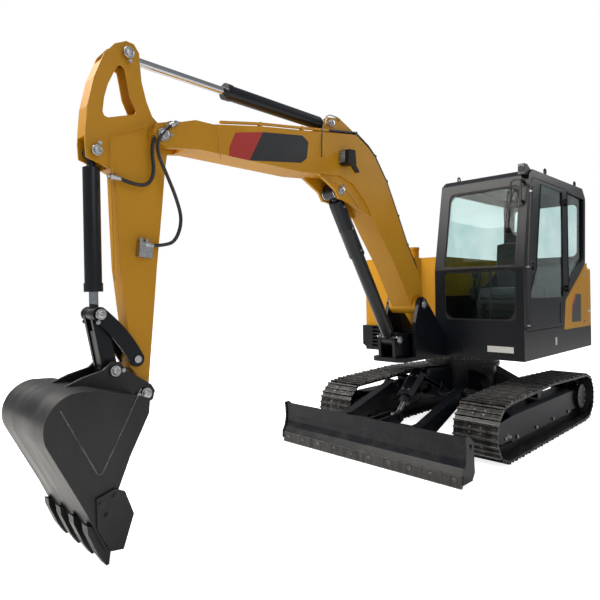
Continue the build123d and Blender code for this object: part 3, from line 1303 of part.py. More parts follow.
# Valve block on the arm's left side, where its hoses end
with BuildPart() as arm_valve:
    with BuildSketch(side(BRACKET_X + EAR_HALF)):
        with BuildLine():
            Polyline((-3898, 1700), (-3888, 1790), (-3802, 1780), (-3812, 1690), close=True)
        make_face()
    extrude(amount=44)
    with BuildSketch(side(BRACKET_X + EAR_HALF + 22)):
        for y, z in ((-3875, 1790), (-3838, 1786)):
            with Locations((y, z)):
                Rectangle(20, 40)
    extrude(amount=10, both=True)
arm_valve.part.label = "arm_valve"
export_step(arm_valve.part, "parts/arm_valve.step")

# Bucket linkage
ROCKER_IN = ARM_WIDTH / 2 + 7.5
ROCKER_THICK = 18
ROCKER = (ROCKER_PIVOT[0], ROCKER_PIVOT[1], between(ROCKER_PIVOT, KNEE)[2])
ROCKER_LENGTH = reach(ROCKER_PIVOT, KNEE)
with BuildPart() as rocker:
    for cheek in (-1, 1):
        with BuildSketch(link_plane(ROCKER, BRACKET_X + cheek * (ROCKER_IN + ROCKER_THICK / 2))):
            with BuildLine():
                ThreePointArc((0, 44), (ROCKER_LENGTH / 2, 60), (ROCKER_LENGTH, 42))
                ThreePointArc((ROCKER_LENGTH, 42), (ROCKER_LENGTH + 42, 0), (ROCKER_LENGTH, -42))
                ThreePointArc((ROCKER_LENGTH, -42), (ROCKER_LENGTH / 2, -30), (0, -44))
                ThreePointArc((0, -44), (-44, 0), (0, 44))
            make_face()
            Circle(SMALL_PIN + PIN_GAP, mode=Mode.SUBTRACT)
        extrude(amount=ROCKER_THICK / 2, both=True)
        with BuildSketch(link_plane(ROCKER, BRACKET_X + cheek * (ROCKER_IN + ROCKER_THICK))):
            with Locations((ROCKER_LENGTH, 0)):
                Circle(SMALL_PIN + 6)
        extrude(amount=-cheek * 12)
rocker.part.label = "rocker_links"
export_step(rocker.part, "parts/rocker_links.step")

LINK = between(LINK_PIVOT, KNEE)
LINK_LENGTH = reach(LINK_PIVOT, KNEE)
with BuildPart() as bucket_link:
    for cheek in (-1, 1):
        with BuildSketch(link_plane(LINK, BRACKET_X + cheek * 45)):
            with BuildLine():
                Line((0, 45), (LINK_LENGTH, 40))
                ThreePointArc((LINK_LENGTH, 40), (LINK_LENGTH + 40, 0), (LINK_LENGTH, -40))
                Line((LINK_LENGTH, -40), (0, -45))
                ThreePointArc((0, -45), (-45, 0), (0, 45))
            make_face()
        extrude(amount=11, both=True)
    with BuildSketch(link_plane(LINK, BRACKET_X)):
        with BuildLine():
            Polyline((30, -38), (30, 38), (LINK_LENGTH - 90, 34), (LINK_LENGTH - 90, -34), close=True)
        make_face()
    extrude(amount=54, both=True)
    with BuildSketch(link_plane(LINK, BRACKET_X)):
        Circle(45)
    extrude(amount=ROCKER_IN - 5, both=True)
    with BuildSketch(link_plane(LINK, BRACKET_X)):
        Circle(SMALL_PIN + 12)
    extrude(amount=ARM_BOSS, both=True)
    with BuildSketch(link_plane(LINK, BRACKET_X)):
        Circle(SMALL_PIN + PIN_GAP)
    extrude(amount=ARM_BOSS + 10, both=True, mode=Mode.SUBTRACT)
bucket_link.part.label = "bucket_link"
export_step(bucket_link.part, "parts/bucket_link.step")

# Bucket
EAR_IN = ARM_BOSS + CHEEK_GAP
EAR_PLATE = 22
CUTTER_PLATE = 14
SHELL_HALF = BUCKET_WIDTH / 2 - CUTTER_PLATE
BUCKET_TIP = 879
with BuildPart() as bucket:
    with BuildSketch(link_plane(BUCKET, BRACKET_X)):
        with BuildLine():
            Polyline((20, 85), (50, 380), (83, 482))
            ThreePointArc((83, 482), (225, 580), (364, 529))
            Polyline((364, 529), (621, 236), (806, 44), (786, 22), (522, 92), (331, 88), (97, 62), (20, 85))
        make_face()
    extrude(amount=SHELL_HALF, both=True)
    with BuildSketch(link_plane(BUCKET, BRACKET_X)):
        with BuildLine():
            Polyline((34, -60), (34, 84), (64, 378), (95, 474))
            ThreePointArc((95, 474), (225, 566), (352, 519))
            Polyline((352, 519), (610, 226), (786, 22), (786, -60), (34, -60))
        make_face()
    extrude(amount=SHELL_HALF - BUCKET_PLATE, both=True, mode=Mode.SUBTRACT)
    for cheek in (-1, 1):
        with BuildSketch(link_plane(BUCKET, BRACKET_X + cheek * (EAR_IN + EAR_PLATE / 2))):
            with BuildLine():
                Polyline((-58, -20), (-30, -55), (20, -60), (58, -25), (66, 40), (30, 100), (56, 370), (84, 470),
                         (10, 390), (-60, 292), (-118, 262), (-130, 215), (-100, 175), close=True)
            make_face()
        extrude(amount=EAR_PLATE / 2, both=True)
    with BuildSketch(link_plane(BUCKET, BRACKET_X)):
        Circle(BUCKET_PIN + PIN_GAP)
        with Locations(LINK_UV):
            Circle(SMALL_PIN + PIN_GAP)
    extrude(amount=EAR_IN + EAR_PLATE + 5, both=True, mode=Mode.SUBTRACT)
bucket.part.label = "bucket_shell"
export_step(bucket.part, "parts/bucket_shell.step")

with BuildPart() as teeth:
    for place in range(4):
        x = BRACKET_X + (place - 1.5) * (2 * SHELL_HALF - 110) / 3
        with BuildSketch(link_plane(BUCKET, x)):
            with BuildLine():
                Polyline((700, 182), (740, 160), (830, 70), (BUCKET_TIP, 4), (BUCKET_TIP - 8, -8), (800, 10),
                         (720, 62), (700, 90), close=True)
            make_face()
            with BuildLine():
                Polyline((560, 300.4), (621.2, 236.4), (806.4, 44), (786, 21.6), (740, 74.5), (610, 225.6), (560, 282),
                         close=True)
            make_face(mode=Mode.SUBTRACT)
        extrude(amount=32, both=True)
teeth.part.label = "bucket_teeth"
export_step(teeth.part, "parts/bucket_teeth.step")

with BuildPart() as side_cutters:
    for cheek in (-1, 1):
        with BuildSketch(link_plane(BUCKET, BRACKET_X + cheek * SHELL_HALF)):
            with BuildLine():
                Polyline((500, 120), (505, 60), (609, -34), (785, -40), (800, 30), (700, 140), (560, 200), close=True)
            make_face()
        extrude(amount=-cheek * CUTTER_PLATE)
side_cutters.part.label = "side_cutters"
export_step(side_cutters.part, "parts/side_cutters.step")

with BuildPart() as bucket_pins:
    with BuildSketch(link_plane(BUCKET, BRACKET_X)):
        Circle(BUCKET_PIN)
    extrude(amount=EAR_IN + EAR_PLATE + 12, both=True)
    with BuildSketch(link_plane(BUCKET, BRACKET_X)):
        with Locations(LINK_UV):
            Circle(SMALL_PIN)
    extrude(amount=EAR_IN + EAR_PLATE + 12, both=True)
bucket_pins.part.label = "bucket_pins"
export_step(bucket_pins.part, "parts/bucket_pins.step")

barrel_and_rod("boom", BRACKET_X, BOOM_CYL_FOOT, BOOM_CYL_EYE, 118, 60, 1000, 128, 62, ARM_PIN, 90, 480)
barrel_and_rod("arm", BRACKET_X, ARM_CYL_BASE, ARM_CYL_EYE, 106, 52, 1030, 84, 48, BUCKET_PIN, 75, 655)
barrel_and_rod("bucket", BRACKET_X, BUCKET_CYL_BASE, KNEE, 94, 50, 790, 60, 38, SMALL_PIN, 86, 190)
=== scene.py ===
# %% [markdown]
# # A crawler excavator
#
# The imported CAD model comes in as a fixed frame: each of its pieces already stands where it belongs, in
# metres. Here the frame gets its finishes, the small things that a casting or a weldment carries, a camera
# and light.

# %% The frame
import json
import math

import bmesh
import bpy
from mathutils import Matrix, Vector


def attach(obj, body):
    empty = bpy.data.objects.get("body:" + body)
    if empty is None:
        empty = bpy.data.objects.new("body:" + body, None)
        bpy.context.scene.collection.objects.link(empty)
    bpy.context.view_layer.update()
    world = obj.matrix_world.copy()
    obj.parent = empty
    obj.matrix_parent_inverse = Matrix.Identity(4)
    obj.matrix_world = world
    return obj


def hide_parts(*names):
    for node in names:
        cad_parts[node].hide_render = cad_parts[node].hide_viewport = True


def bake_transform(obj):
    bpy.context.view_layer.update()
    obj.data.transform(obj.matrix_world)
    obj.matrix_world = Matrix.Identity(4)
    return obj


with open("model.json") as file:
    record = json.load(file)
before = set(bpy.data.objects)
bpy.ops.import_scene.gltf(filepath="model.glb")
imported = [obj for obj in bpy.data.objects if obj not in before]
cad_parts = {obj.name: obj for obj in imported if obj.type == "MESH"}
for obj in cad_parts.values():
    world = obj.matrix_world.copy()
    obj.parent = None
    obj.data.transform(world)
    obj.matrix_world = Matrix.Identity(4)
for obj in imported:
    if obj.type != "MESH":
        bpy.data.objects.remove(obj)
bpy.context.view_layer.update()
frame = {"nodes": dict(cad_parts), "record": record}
nodes = frame["nodes"]
slots = {s["node"]: s["material_slot"] for s in frame["record"]["subparts"]}
scene = bpy.context.scene

# %% [markdown]
# ## Camera
#
# The photograph was taken from the machine's front left, standing, with a fairly wide lens. A camera matrix
# is written from three directions (right, up and back), which is easier to check than a chain of rotations.
# The small lens shift is there because the picture was cropped a little off its centre.

# %% Camera
SLEW_Y = 1.404
CAMERA_PLACE = Vector((2.8726, SLEW_Y - 5.4044, 1.476))
CAMERA_YAW = math.radians(44.13)
CAMERA_PITCH = math.radians(-0.71)
CAMERA_ROLL = math.radians(-0.63)
LENS, LENS_SHIFT = 31.4, (-0.0158, -0.0232)

forward = Vector((
    -math.sin(CAMERA_YAW) * math.cos(CAMERA_PITCH),
    math.cos(CAMERA_YAW) * math.cos(CAMERA_PITCH),
    -math.sin(CAMERA_PITCH),
))
level = Vector((math.cos(CAMERA_YAW), math.sin(CAMERA_YAW), 0))
upright = level.cross(forward)
right = level * math.cos(CAMERA_ROLL) + upright * math.sin(CAMERA_ROLL)
up = upright * math.cos(CAMERA_ROLL) - level * math.sin(CAMERA_ROLL)

camera_data = bpy.data.cameras.new("camera")
camera_data.sensor_width = 36
camera_data.lens = LENS
camera_data.shift_x, camera_data.shift_y = LENS_SHIFT
camera_data.clip_end = 100
camera = bpy.data.objects.new("camera", camera_data)
camera.matrix_world = Matrix((
    (right.x, up.x, -forward.x, CAMERA_PLACE.x),
    (right.y, up.y, -forward.y, CAMERA_PLACE.y),
    (right.z, up.z, -forward.z, CAMERA_PLACE.z),
    (0, 0, 0, 1),
))
scene.collection.objects.link(camera)
scene.camera = camera
print("camera at", [round(v, 3) for v in CAMERA_PLACE], "lens", camera_data.lens)

# %% [markdown]
# ## Nodes in short
#
# Every shader is a tree of nodes. An input takes a plain value or another node's output, and a node is made
# together with what goes into it.

# %% Helpers for nodes
def feed(tree, socket, value):
    """Sets a socket from another socket or from a plain value."""
    if hasattr(value, "is_output"):
        tree.links.new(value, socket)
    else:
        socket.default_value = value


def add(tree, kind, *first, **named):
    """A node with its first inputs fed in order, and others by name with underscores for spaces."""
    node = tree.nodes.new(kind)
    for socket, value in zip(node.inputs, first):
        feed(tree, socket, value)
    for label, value in named.items():
        feed(tree, node.inputs[label.replace("_", " ")], value)
    return node


def object_place(tree):
    """The object coordinates in a shader tree."""
    return add(tree, "ShaderNodeTexCoord").outputs["Object"]


print("node helpers ready")

# %% [markdown]
# ## Backdrop
#
# Painted steel shows its shape by what it reflects, so the world is even and pale, and dim enough to keep the
# shaded side dark. Camera and transmission rays see pure white instead, which gives the white backdrop of a
# studio without any more light on the machine.

# %% World
WORLD_LIGHT = 0.28

scene.view_settings.view_transform = "Standard"
world = bpy.data.worlds.new("studio")
scene.world = world
world.use_nodes = True
sky = world.node_tree
sky.nodes.clear()
rays = add(sky, "ShaderNodeLightPath").outputs
soft = add(sky, "ShaderNodeBackground", (0.93, 0.96, 1.0, 1), WORLD_LIGHT)
white = add(sky, "ShaderNodeBackground", (1, 1, 1, 1), 1.0)
seen = add(sky, "ShaderNodeMath", rays["Is Camera Ray"], rays["Is Transmission Ray"])
seen.operation = "MAXIMUM"
either = add(sky, "ShaderNodeMixShader", seen.outputs[0], soft.outputs[0], white.outputs[0])
add(sky, "ShaderNodeOutputWorld", either.outputs[0])
print("world", world.name)

# %% [markdown]
# ## Lamps
#
# The photograph is lit from the machine's front right, and its near side is in shade. So the key lamp hangs
# high in front of the right side, a weak lamp fills the left side, and one behind draws the upper edges.

# %% Lamps
LAMPS = [
    ("key_lamp", (-5.0, -6.0, 11.0), (0, 0.0, 1.0), 9.0, 2700, (1.0, 0.96, 0.9)),
    ("fill_lamp", (6.5, -2.0, 5.0), (0, 0.5, 1.0), 5.0, 110, (0.93, 0.96, 1.0)),
    ("back_lamp", (1.0, 8.5, 6.5), (0, 1.0, 1.2), 5.0, 380, (1, 1, 1)),
]


def area_lamp(name, place, target, size, power, colour):
    """A square soft lamp that looks at a target."""
    data = bpy.data.lights.new(name, "AREA")
    data.shape = "SQUARE"
    data.size = size
    data.energy = power
    data.color = colour
    lamp = bpy.data.objects.new(name, data)
    lamp.location = place
    lamp.rotation_euler = (Vector(target) - Vector(place)).to_track_quat("-Z", "Y").to_euler()
    scene.collection.objects.link(lamp)


for lamp_values in LAMPS:
    area_lamp(*lamp_values)

# %% [markdown]
# ## Floor
#
# The floor is white paper that glows a little for camera rays alone, so that it runs into the backdrop
# without a horizon and still takes the soft shadow under the machine.

# %% Floor
FLOOR_HALF = 40
FLOOR_Z = -0.002
FLOOR_GLOW = 0.84

floor_mesh = bpy.data.meshes.new("floor")
floor_corners = [
    (x * FLOOR_HALF, y * FLOOR_HALF, FLOOR_Z) for x, y in ((-1, -1), (1, -1), (1, 1), (-1, 1))
]
floor_mesh.from_pydata(floor_corners, [], [(0, 1, 2, 3)])
floor = bpy.data.objects.new("floor", floor_mesh)
scene.collection.objects.link(floor)
floor_mat = bpy.data.materials.new("floor_white")
floor_mat.use_nodes = True
paper_tree = floor_mat.node_tree
paper_tree.nodes.clear()
paper = add(paper_tree, "ShaderNodeBsdfPrincipled", (0.82, 0.82, 0.82, 1), Roughness=0.9)
glow = add(paper_tree, "ShaderNodeEmission", (1, 1, 1, 1), FLOOR_GLOW)
glowing = add(paper_tree, "ShaderNodeAddShader", paper.outputs[0], glow.outputs[0])
camera_ray = add(paper_tree, "ShaderNodeLightPath").outputs["Is Camera Ray"]
chosen = add(paper_tree, "ShaderNodeMixShader", camera_ray, paper.outputs[0], glowing.outputs[0])
add(paper_tree, "ShaderNodeOutputMaterial", chosen.outputs[0])
floor_mesh.materials.append(floor_mat)
print("floor", floor.name)

# %% [markdown]
# ## Shared effects
#
# Effects that turn up on most of the machine are node groups with their own inputs. A group puts out only
# colours, masks, values and normals.

# %% Helpers for effects
def new_group(name, given, results):
    """An empty shader node group: its tree, what is given to it, and the sockets of its results."""
    tree = bpy.data.node_groups.new(name, "ShaderNodeTree")
    for label, kind, value in given:
        socket = tree.interface.new_socket(label, in_out="INPUT", socket_type="NodeSocket" + kind)
        socket.default_value = value
    for label, kind in results:
        tree.interface.new_socket(label, in_out="OUTPUT", socket_type="NodeSocket" + kind)
    return tree, add(tree, "NodeGroupInput").outputs, add(tree, "NodeGroupOutput").inputs


def noise(tree, scale, detail=4, roughness=0.55):
    """A noise texture on object coordinates."""
    place = object_place(tree)
    node = add(tree, "ShaderNodeTexNoise", place, Scale=scale, Detail=detail, Roughness=roughness)
    return node.outputs["Fac"]


def ranged(tree, source, low, high, to_low, to_high):
    """Maps a value from one range to another, clamped."""
    return add(tree, "ShaderNodeMapRange", source, low, high, to_low, to_high).outputs["Result"]


def blend_colour(tree, factor, first, second):
    """Mixes two colours, each a socket or a plain value."""
    node = add(tree, "ShaderNodeMix")
    node.data_type = "RGBA"
    for label, value in (("Factor", factor), ("A", first), ("B", second)):
        feed(tree, node.inputs[label], value)
    return node.outputs["Result"]


def maths(tree, kind, first, second):
    """A maths node on two sockets or values."""
    node = add(tree, "ShaderNodeMath", first, second)
    node.operation = kind
    return node.outputs[0]


print("effect helpers ready")

# %% [markdown]
# Paint drifts a little in colour from patch to patch, and gathers dust in spots, more so low down.

# %% Weathered colour
weather, given, results = new_group(
    "weathered_colour",
    [
        ("Colour", "Color", (1, 1, 1, 1)), ("Dust Colour", "Color", (0.32, 0.27, 0.2, 1)),
        ("Drift", "Float", 0.12), ("Dust", "Float", 0.2), ("Dust Height", "Float", 0.9),
    ],
    [("Colour", "Color"), ("Dust Mask", "Float")],
)
patches = ranged(weather, noise(weather, 1.6, 5), 0.3, 0.7, 0.0, 1.0)
darker = blend_colour(weather, given["Drift"], given["Colour"], (0.0, 0.0, 0.0, 1))
drifted = blend_colour(weather, patches, darker, given["Colour"])
height = add(weather, "ShaderNodeSeparateXYZ", object_place(weather)).outputs["Z"]
lowness = ranged(weather, maths(weather, "DIVIDE", height, given["Dust Height"]), 0.0, 1.0, 1.0, 0.12)
grit = ranged(weather, noise(weather, 14, 6, 0.7), 0.45, 0.68, 0.0, 1.0)
dust = maths(weather, "MULTIPLY", maths(weather, "MULTIPLY", lowness, grit), given["Dust"])
feed(weather, results["Colour"], blend_colour(weather, dust, drifted, given["Dust Colour"]))
feed(weather, results["Dust Mask"], dust)
print("group", weather.name)

# %% [markdown]
# Sprayed enamel is never quite flat: a fine bump gives it the look of orange peel.

# %% Orange peel
peel, given, results = new_group(
    "enamel_peel", [("Strength", "Float", 0.05), ("Scale", "Float", 140.0)], [("Normal", "Vector")],
)
grain = noise(peel, given["Scale"], 2, 0.5)
skin_bump = add(peel, "ShaderNodeBump", given["Strength"], Distance=0.002, Height=grain)
feed(peel, results["Normal"], skin_bump.outputs[0])
print("group", peel.name)

# %% [markdown]
# Steel that works the ground is scratched through its paint in long streaks, and is rougher in places.

# %% Scratched steel
STREAK_STRETCH = (1.0, 0.25, 0.12)

scratch, given, results = new_group(
    "scratched_steel",
    [
        ("Steel", "Color", (0.3, 0.28, 0.26, 1)), ("Paint", "Color", (0.03, 0.03, 0.03, 1)),
        ("Bareness", "Float", 0.5), ("Streaks", "Float", 30.0),
    ],
    [("Colour", "Color"), ("Bare Mask", "Float"), ("Roughness", "Float")],
)
stretched = add(scratch, "ShaderNodeMapping", object_place(scratch), Scale=STREAK_STRETCH).outputs[0]
streak = add(
    scratch, "ShaderNodeTexNoise", stretched, Scale=given["Streaks"], Detail=8, Roughness=0.72,
).outputs["Fac"]
threshold = maths(scratch, "SUBTRACT", 0.95, given["Bareness"])
bare = ranged(scratch, maths(scratch, "SUBTRACT", streak, threshold), -0.08, 0.12, 0.0, 1.0)
feed(scratch, results["Colour"], blend_colour(scratch, bare, given["Paint"], given["Steel"]))
feed(scratch, results["Bare Mask"], bare)
feed(scratch, results["Roughness"], ranged(scratch, streak, 0.3, 0.7, 0.28, 0.55))
print("group", scratch.name)

# %% [markdown]
# Edges are painted bright, hollow ones too: partly steel rubbed bare, partly a painted highlight. Where a
# rounded normal differs from the true one, there is an edge within the radius.

# %% Rubbed edges
wear_and_highlight, given, results = new_group(
    "edge_wear_and_highlight", [("Radius", "Float", 0.006), ("Amount", "Float", 1.0)], [("Mask", "Float")],
)
softened = add(wear_and_highlight, "ShaderNodeBevel", given["Radius"])
softened.samples = 4
flat = add(wear_and_highlight, "ShaderNodeNewGeometry").outputs["Normal"]
agree = add(wear_and_highlight, "ShaderNodeVectorMath", softened.outputs[0], flat)
agree.operation = "DOT_PRODUCT"
# Painted highlight and rubbed steel together: the mask rises near every edge, outer and hollow alike.
rubbed_and_lit = ranged(wear_and_highlight, agree.outputs["Value"], 0.99, 0.85, 0.0, 1.0)
patchy = ranged(wear_and_highlight, noise(wear_and_highlight, 22, 5, 0.65), 0.38, 0.6, 0.15, 1.0)
rubbed_and_lit_patches = maths(wear_and_highlight, "MULTIPLY", rubbed_and_lit, patchy)
feed(wear_and_highlight, results["Mask"], maths(wear_and_highlight, "MULTIPLY", rubbed_and_lit_patches, given["Amount"]))
print("group", wear_and_highlight.name)

# %% [markdown]
# The painted eye of a chromed rod is all that lies within reach of the eye's centre.

# %% Within reach of a point
nearby, given, results = new_group(
    "within_reach", [("Centre", "Vector", (0, 0, 0)), ("Reach", "Float", 0.08)], [("Mask", "Float")],
)
gap = add(nearby, "ShaderNodeVectorMath", object_place(nearby), given["Centre"])
gap.operation = "DISTANCE"
inside = maths(nearby, "SUBTRACT", given["Reach"], gap.outputs["Value"])
feed(nearby, results["Mask"], ranged(nearby, inside, -0.001, 0.001, 0.0, 1.0))
print("groups", [g.name for g in bpy.data.node_groups])

# %% [markdown]
# ## Finishes
#
# Each finish is one material with its own values for the shared groups. The Principled shader stays in the
# material.

# %% Materials and their groups
def principled(name, roughness, metallic=0.0, coat=0.0, coat_rough=0.08, specular=0.5):
    """A material with one Principled shader, and that shader."""
    mat = bpy.data.materials.new(name)
    mat.use_nodes = True
    bsdf = mat.node_tree.nodes["Principled BSDF"]
    for label, value in (
        ("Roughness", roughness), ("Metallic", metallic), ("Coat Weight", coat),
        ("Coat Roughness", coat_rough), ("Specular IOR Level", specular),
    ):
        bsdf.inputs[label].default_value = value
    return mat, bsdf


def place_group(mat, tree, **values):
    """Places a node group in a material with its own input values."""
    node = mat.node_tree.nodes.new("ShaderNodeGroup")
    node.node_tree = tree
    for label, value in values.items():
        node.inputs[label.replace("_", " ").title()].default_value = value
    return node


print("shader makers ready")

# %% [markdown]
# Enamel is a coloured base with a thin clear coat, and is rougher where dust lies. Worn steel mixes the paint
# that is left with bare metal.

# %% Enamel and worn steel
def enamel(name, colour, roughness, drift, dust, peel_strength, coat=0.35, dust_height=0.9, specular=0.5):
    """Sprayed enamel: weathered colour, a rougher look where dust lies, and orange peel."""
    mat, bsdf = principled(name, roughness, coat=coat, specular=specular)
    links = mat.node_tree.links
    body = place_group(mat, weather, colour=colour, drift=drift, dust=dust, dust_height=dust_height)
    dusty_roughness = min(roughness + 0.35, 0.9)
    rough = ranged(mat.node_tree, body.outputs["Dust Mask"], 0.0, 0.3, roughness, dusty_roughness)
    skin = place_group(mat, peel, strength=peel_strength)
    links.new(body.outputs["Colour"], bsdf.inputs["Base Color"])
    links.new(rough, bsdf.inputs["Roughness"])
    links.new(skin.outputs["Normal"], bsdf.inputs["Normal"])
    return mat


def worn_steel_with_highlight(name, steel, paint, bareness, streaks, metallic, edge_band_radius=0.006, bright=(0.42, 0.4, 0.38, 1)):
    """Ground-working steel: scratched through its paint, with edges painted bright as rubbed steel and as a
    painted highlight.
    """
    mat, bsdf = principled(name, 0.4, metallic=metallic)
    links = mat.node_tree.links
    face = place_group(mat, scratch, steel=steel, paint=paint, bareness=bareness, streaks=streaks)
    edges = place_group(mat, wear_and_highlight, radius=edge_band_radius)
    # The edges take the bright colour: partly rubbed bare steel, partly a painted highlight.
    colour = blend_colour(mat.node_tree, edges.outputs["Mask"], face.outputs["Colour"], bright)
    links.new(colour, bsdf.inputs["Base Color"])
    links.new(face.outputs["Roughness"], bsdf.inputs["Roughness"])
    return mat


print("finish makers ready")

# %% [markdown]
# Dark paint leans to blue, and reflects less than plain enamel would. The bucket keeps most of its paint.

# %% Paints, rubbers, films and steels
YELLOW = (0.53, 0.245, 0.006, 1)
BLACK = (0.0045, 0.0058, 0.0095, 1)
CYLINDER_BLACK = (0.007, 0.0085, 0.0125, 1)
DULL_EDGE = (0.09, 0.085, 0.08, 1)

finishes = {
    "yellow_paint": enamel("yellow_enamel", YELLOW, 0.46, 0.16, 0.08, 0.04, 0.04, 0.9, 0.3),
    "yellow_casting": enamel("yellow_casting", YELLOW, 0.45, 0.16, 0.12, 0.16, 0.1),
    "dark_paint": enamel("black_enamel", BLACK, 0.34, 0.3, 0.06, 0.04, 0.0, 0.5, 0.28),
    "cylinder_paint": enamel("cylinder_enamel", CYLINDER_BLACK, 0.3, 0.2, 0.06, 0.03, 0.1, 0.9, 0.35),
    "black_plastic": enamel("moulded_black", (0.014, 0.014, 0.015, 1), 0.55, 0.2, 0.1, 0.3, 0.0),
    "engine_iron": enamel("engine_iron", (0.05, 0.05, 0.052, 1), 0.6, 0.3, 0.3, 0.4, 0.0, 3.0),
    "rubber": enamel("seal_rubber", (0.011, 0.011, 0.012, 1), 0.6, 0.2, 0.15, 0.2, 0.0),
    "hose_rubber": enamel("hose_rubber", (0.012, 0.012, 0.013, 1), 0.45, 0.2, 0.2, 0.12, 0.0),
    "red_film": enamel("red_film", (0.42, 0.024, 0.018, 1), 0.4, 0.15, 0.1, 0.02, 0.3),
    "dark_film": enamel("dark_film", (0.013, 0.014, 0.016, 1), 0.42, 0.3, 0.15, 0.02, 0.3),
    "white_film": enamel("white_film", (0.6, 0.6, 0.58, 1), 0.4, 0.12, 0.1, 0.02, 0.3),
    "bare_steel": worn_steel_with_highlight(
        "track_steel", (0.05, 0.049, 0.048, 1), (0.009, 0.0095, 0.011, 1), 0.45, 22.0, 0.5,
    ),
    "bucket_steel": worn_steel_with_highlight(
        "bucket_steel", (0.022, 0.021, 0.022, 1), (0.007, 0.0075, 0.009, 1), 0.42, 7.0, 0.2, 0.004, DULL_EDGE,
    ),
    "edge_steel": worn_steel_with_highlight("edge_steel", (0.06, 0.058, 0.056, 1), (0.012, 0.012, 0.014, 1), 0.5, 18.0, 0.5),
    "shoe_bolt": worn_steel_with_highlight(
        "shoe_bolt_steel", (0.16, 0.15, 0.14, 1), (0.03, 0.03, 0.031, 1), 0.6, 40.0, 0.7,
    ),
}
print("finishes", len(finishes))

# %% [markdown]
# Each rod is bright chrome with fine streaks, and its eye is painted black like the barrel.

# %% Chromed rods
CHROME = (0.55, 0.57, 0.6, 1)
EYE_REACH, SMALL_EYE_REACH = 0.085, 0.062
RODS = {
    "boom_cylinder_rod": ((-0.078, SLEW_Y - 2.0726, 2.3266), EYE_REACH),
    "arm_cylinder_rod": ((-0.078, SLEW_Y - 3.941, 2.891), EYE_REACH),
    "bucket_cylinder_rod": ((-0.078, SLEW_Y - 4.133, 1.367), SMALL_EYE_REACH),
    "blade_cylinder_rod": ((0, SLEW_Y - 1.304, 0.296), EYE_REACH),
}


def chromed(name, eye, reach):
    """Bright chrome whose end within reach of the eye is painted black."""
    mat, bsdf = principled(name, 0.12, metallic=1.0)
    tree = mat.node_tree
    painted = place_group(mat, nearby, centre=eye, reach=reach).outputs["Mask"]
    streaks = ranged(tree, noise(tree, 40, 3, 0.5), 0.3, 0.7, 0.06, 0.2)
    rough = maths(tree, "ADD", streaks, maths(tree, "MULTIPLY", painted, 0.2))
    tree.links.new(blend_colour(tree, painted, CHROME, BLACK), bsdf.inputs["Base Color"])
    tree.links.new(rough, bsdf.inputs["Roughness"])
    tree.links.new(maths(tree, "SUBTRACT", 1.0, painted), bsdf.inputs["Metallic"])
    return mat


for name, (eye, reach) in RODS.items():
    finishes[name] = chromed(name + "_chrome", eye, reach)
print("rods", list(RODS))

# %% [markdown]
# The panes are thin tinted glass, and the seat is a dark woven cloth.

# %% Glass and cloth
glass, glass_bsdf = principled("cab_glass", 0.02, specular=0.6)
glass_bsdf.inputs["Transmission Weight"].default_value = 1.0
glass_bsdf.inputs["IOR"].default_value = 1.2
pane = glass.node_tree
haze = ranged(pane, noise(pane, 2.2, 2), 0.35, 0.65, 0.0, 1.0)
tint = blend_colour(pane, haze, (0.66, 0.80, 0.79, 1), (0.78, 0.88, 0.87, 1))
feed(pane, glass_bsdf.inputs["Base Color"], tint)
finishes["glass"] = glass

fabric, fabric_bsdf = principled("seat_cloth", 0.9)
fabric_bsdf.inputs["Sheen Weight"].default_value = 0.35
cloth = fabric.node_tree
weave = add(cloth, "ShaderNodeTexWave", object_place(cloth), 260).outputs["Fac"]
weave_bump = add(cloth, "ShaderNodeBump", 0.25, Distance=0.001, Height=weave)
tone = blend_colour(cloth, noise(cloth, 60, 4), (0.012, 0.012, 0.014, 1), (0.035, 0.035, 0.04, 1))
feed(cloth, fabric_bsdf.inputs["Normal"], weave_bump.outputs[0])
feed(cloth, fabric_bsdf.inputs["Base Color"], tone)
finishes["seat_fabric"] = fabric
print("glass and cloth ready")

# %% [markdown]
# Fasteners are zinc plated, a lamp's lens is faceted with a painted glint in the middle of each facet and
# painted shade towards its edges, and the boom's pipes are yellow up to the knee and black hoses behind it.

# %% Zinc, lens and pipes
KNEE_Y = -0.824

zinc, zinc_bsdf = principled("zinc_plate", 0.3, metallic=1.0)
plating = zinc.node_tree
dulled = ranged(plating, noise(plating, 90, 3, 0.6), 0.3, 0.7, 0.22, 0.48)
zinc_tone = blend_colour(plating, noise(plating, 30, 3), (0.36, 0.36, 0.37, 1), (0.56, 0.56, 0.57, 1))
feed(plating, zinc_bsdf.inputs["Roughness"], dulled)
feed(plating, zinc_bsdf.inputs["Base Color"], zinc_tone)
finishes["zinc"] = zinc

lens, lens_bsdf = principled("lamp_lens", 0.12, coat=0.6)
cut_glass = lens.node_tree
facets = add(cut_glass, "ShaderNodeTexVoronoi", object_place(cut_glass), Scale=70).outputs["Distance"]
# Painted light: each facet is light in its middle as a painted glint and dark towards its edges as painted
# shade.
facet_glint_and_shade = ranged(cut_glass, facets, 0.0, 0.7, 0.0, 1.0)
lens_painted_light = blend_colour(cut_glass, facet_glint_and_shade, (0.5, 0.52, 0.54, 1), (0.16, 0.17, 0.18, 1))
feed(cut_glass, lens_bsdf.inputs["Base Color"], lens_painted_light)
finishes["lamp_lens"] = lens

pipes, pipes_bsdf = principled("pipe_paint", 0.4, coat=0.2)
pipe_tree = pipes.node_tree
pipe_y = add(pipe_tree, "ShaderNodeSeparateXYZ", object_place(pipe_tree)).outputs["Y"]
behind = ranged(pipe_tree, pipe_y, KNEE_Y - 0.002, KNEE_Y + 0.002, 0.0, 1.0)
feed(pipe_tree, pipes_bsdf.inputs["Base Color"], blend_colour(pipe_tree, behind, YELLOW, BLACK))
finishes["boom_pipes"] = pipes
print("finishes", sorted(finishes))

# %% [markdown]
# ## The finish of each CAD piece
#
# The record says which slot each node takes. A few nodes share a slot but look different in use: the bucket
# keeps most of its black paint, the cutting edge is bare, and the pins are plated.

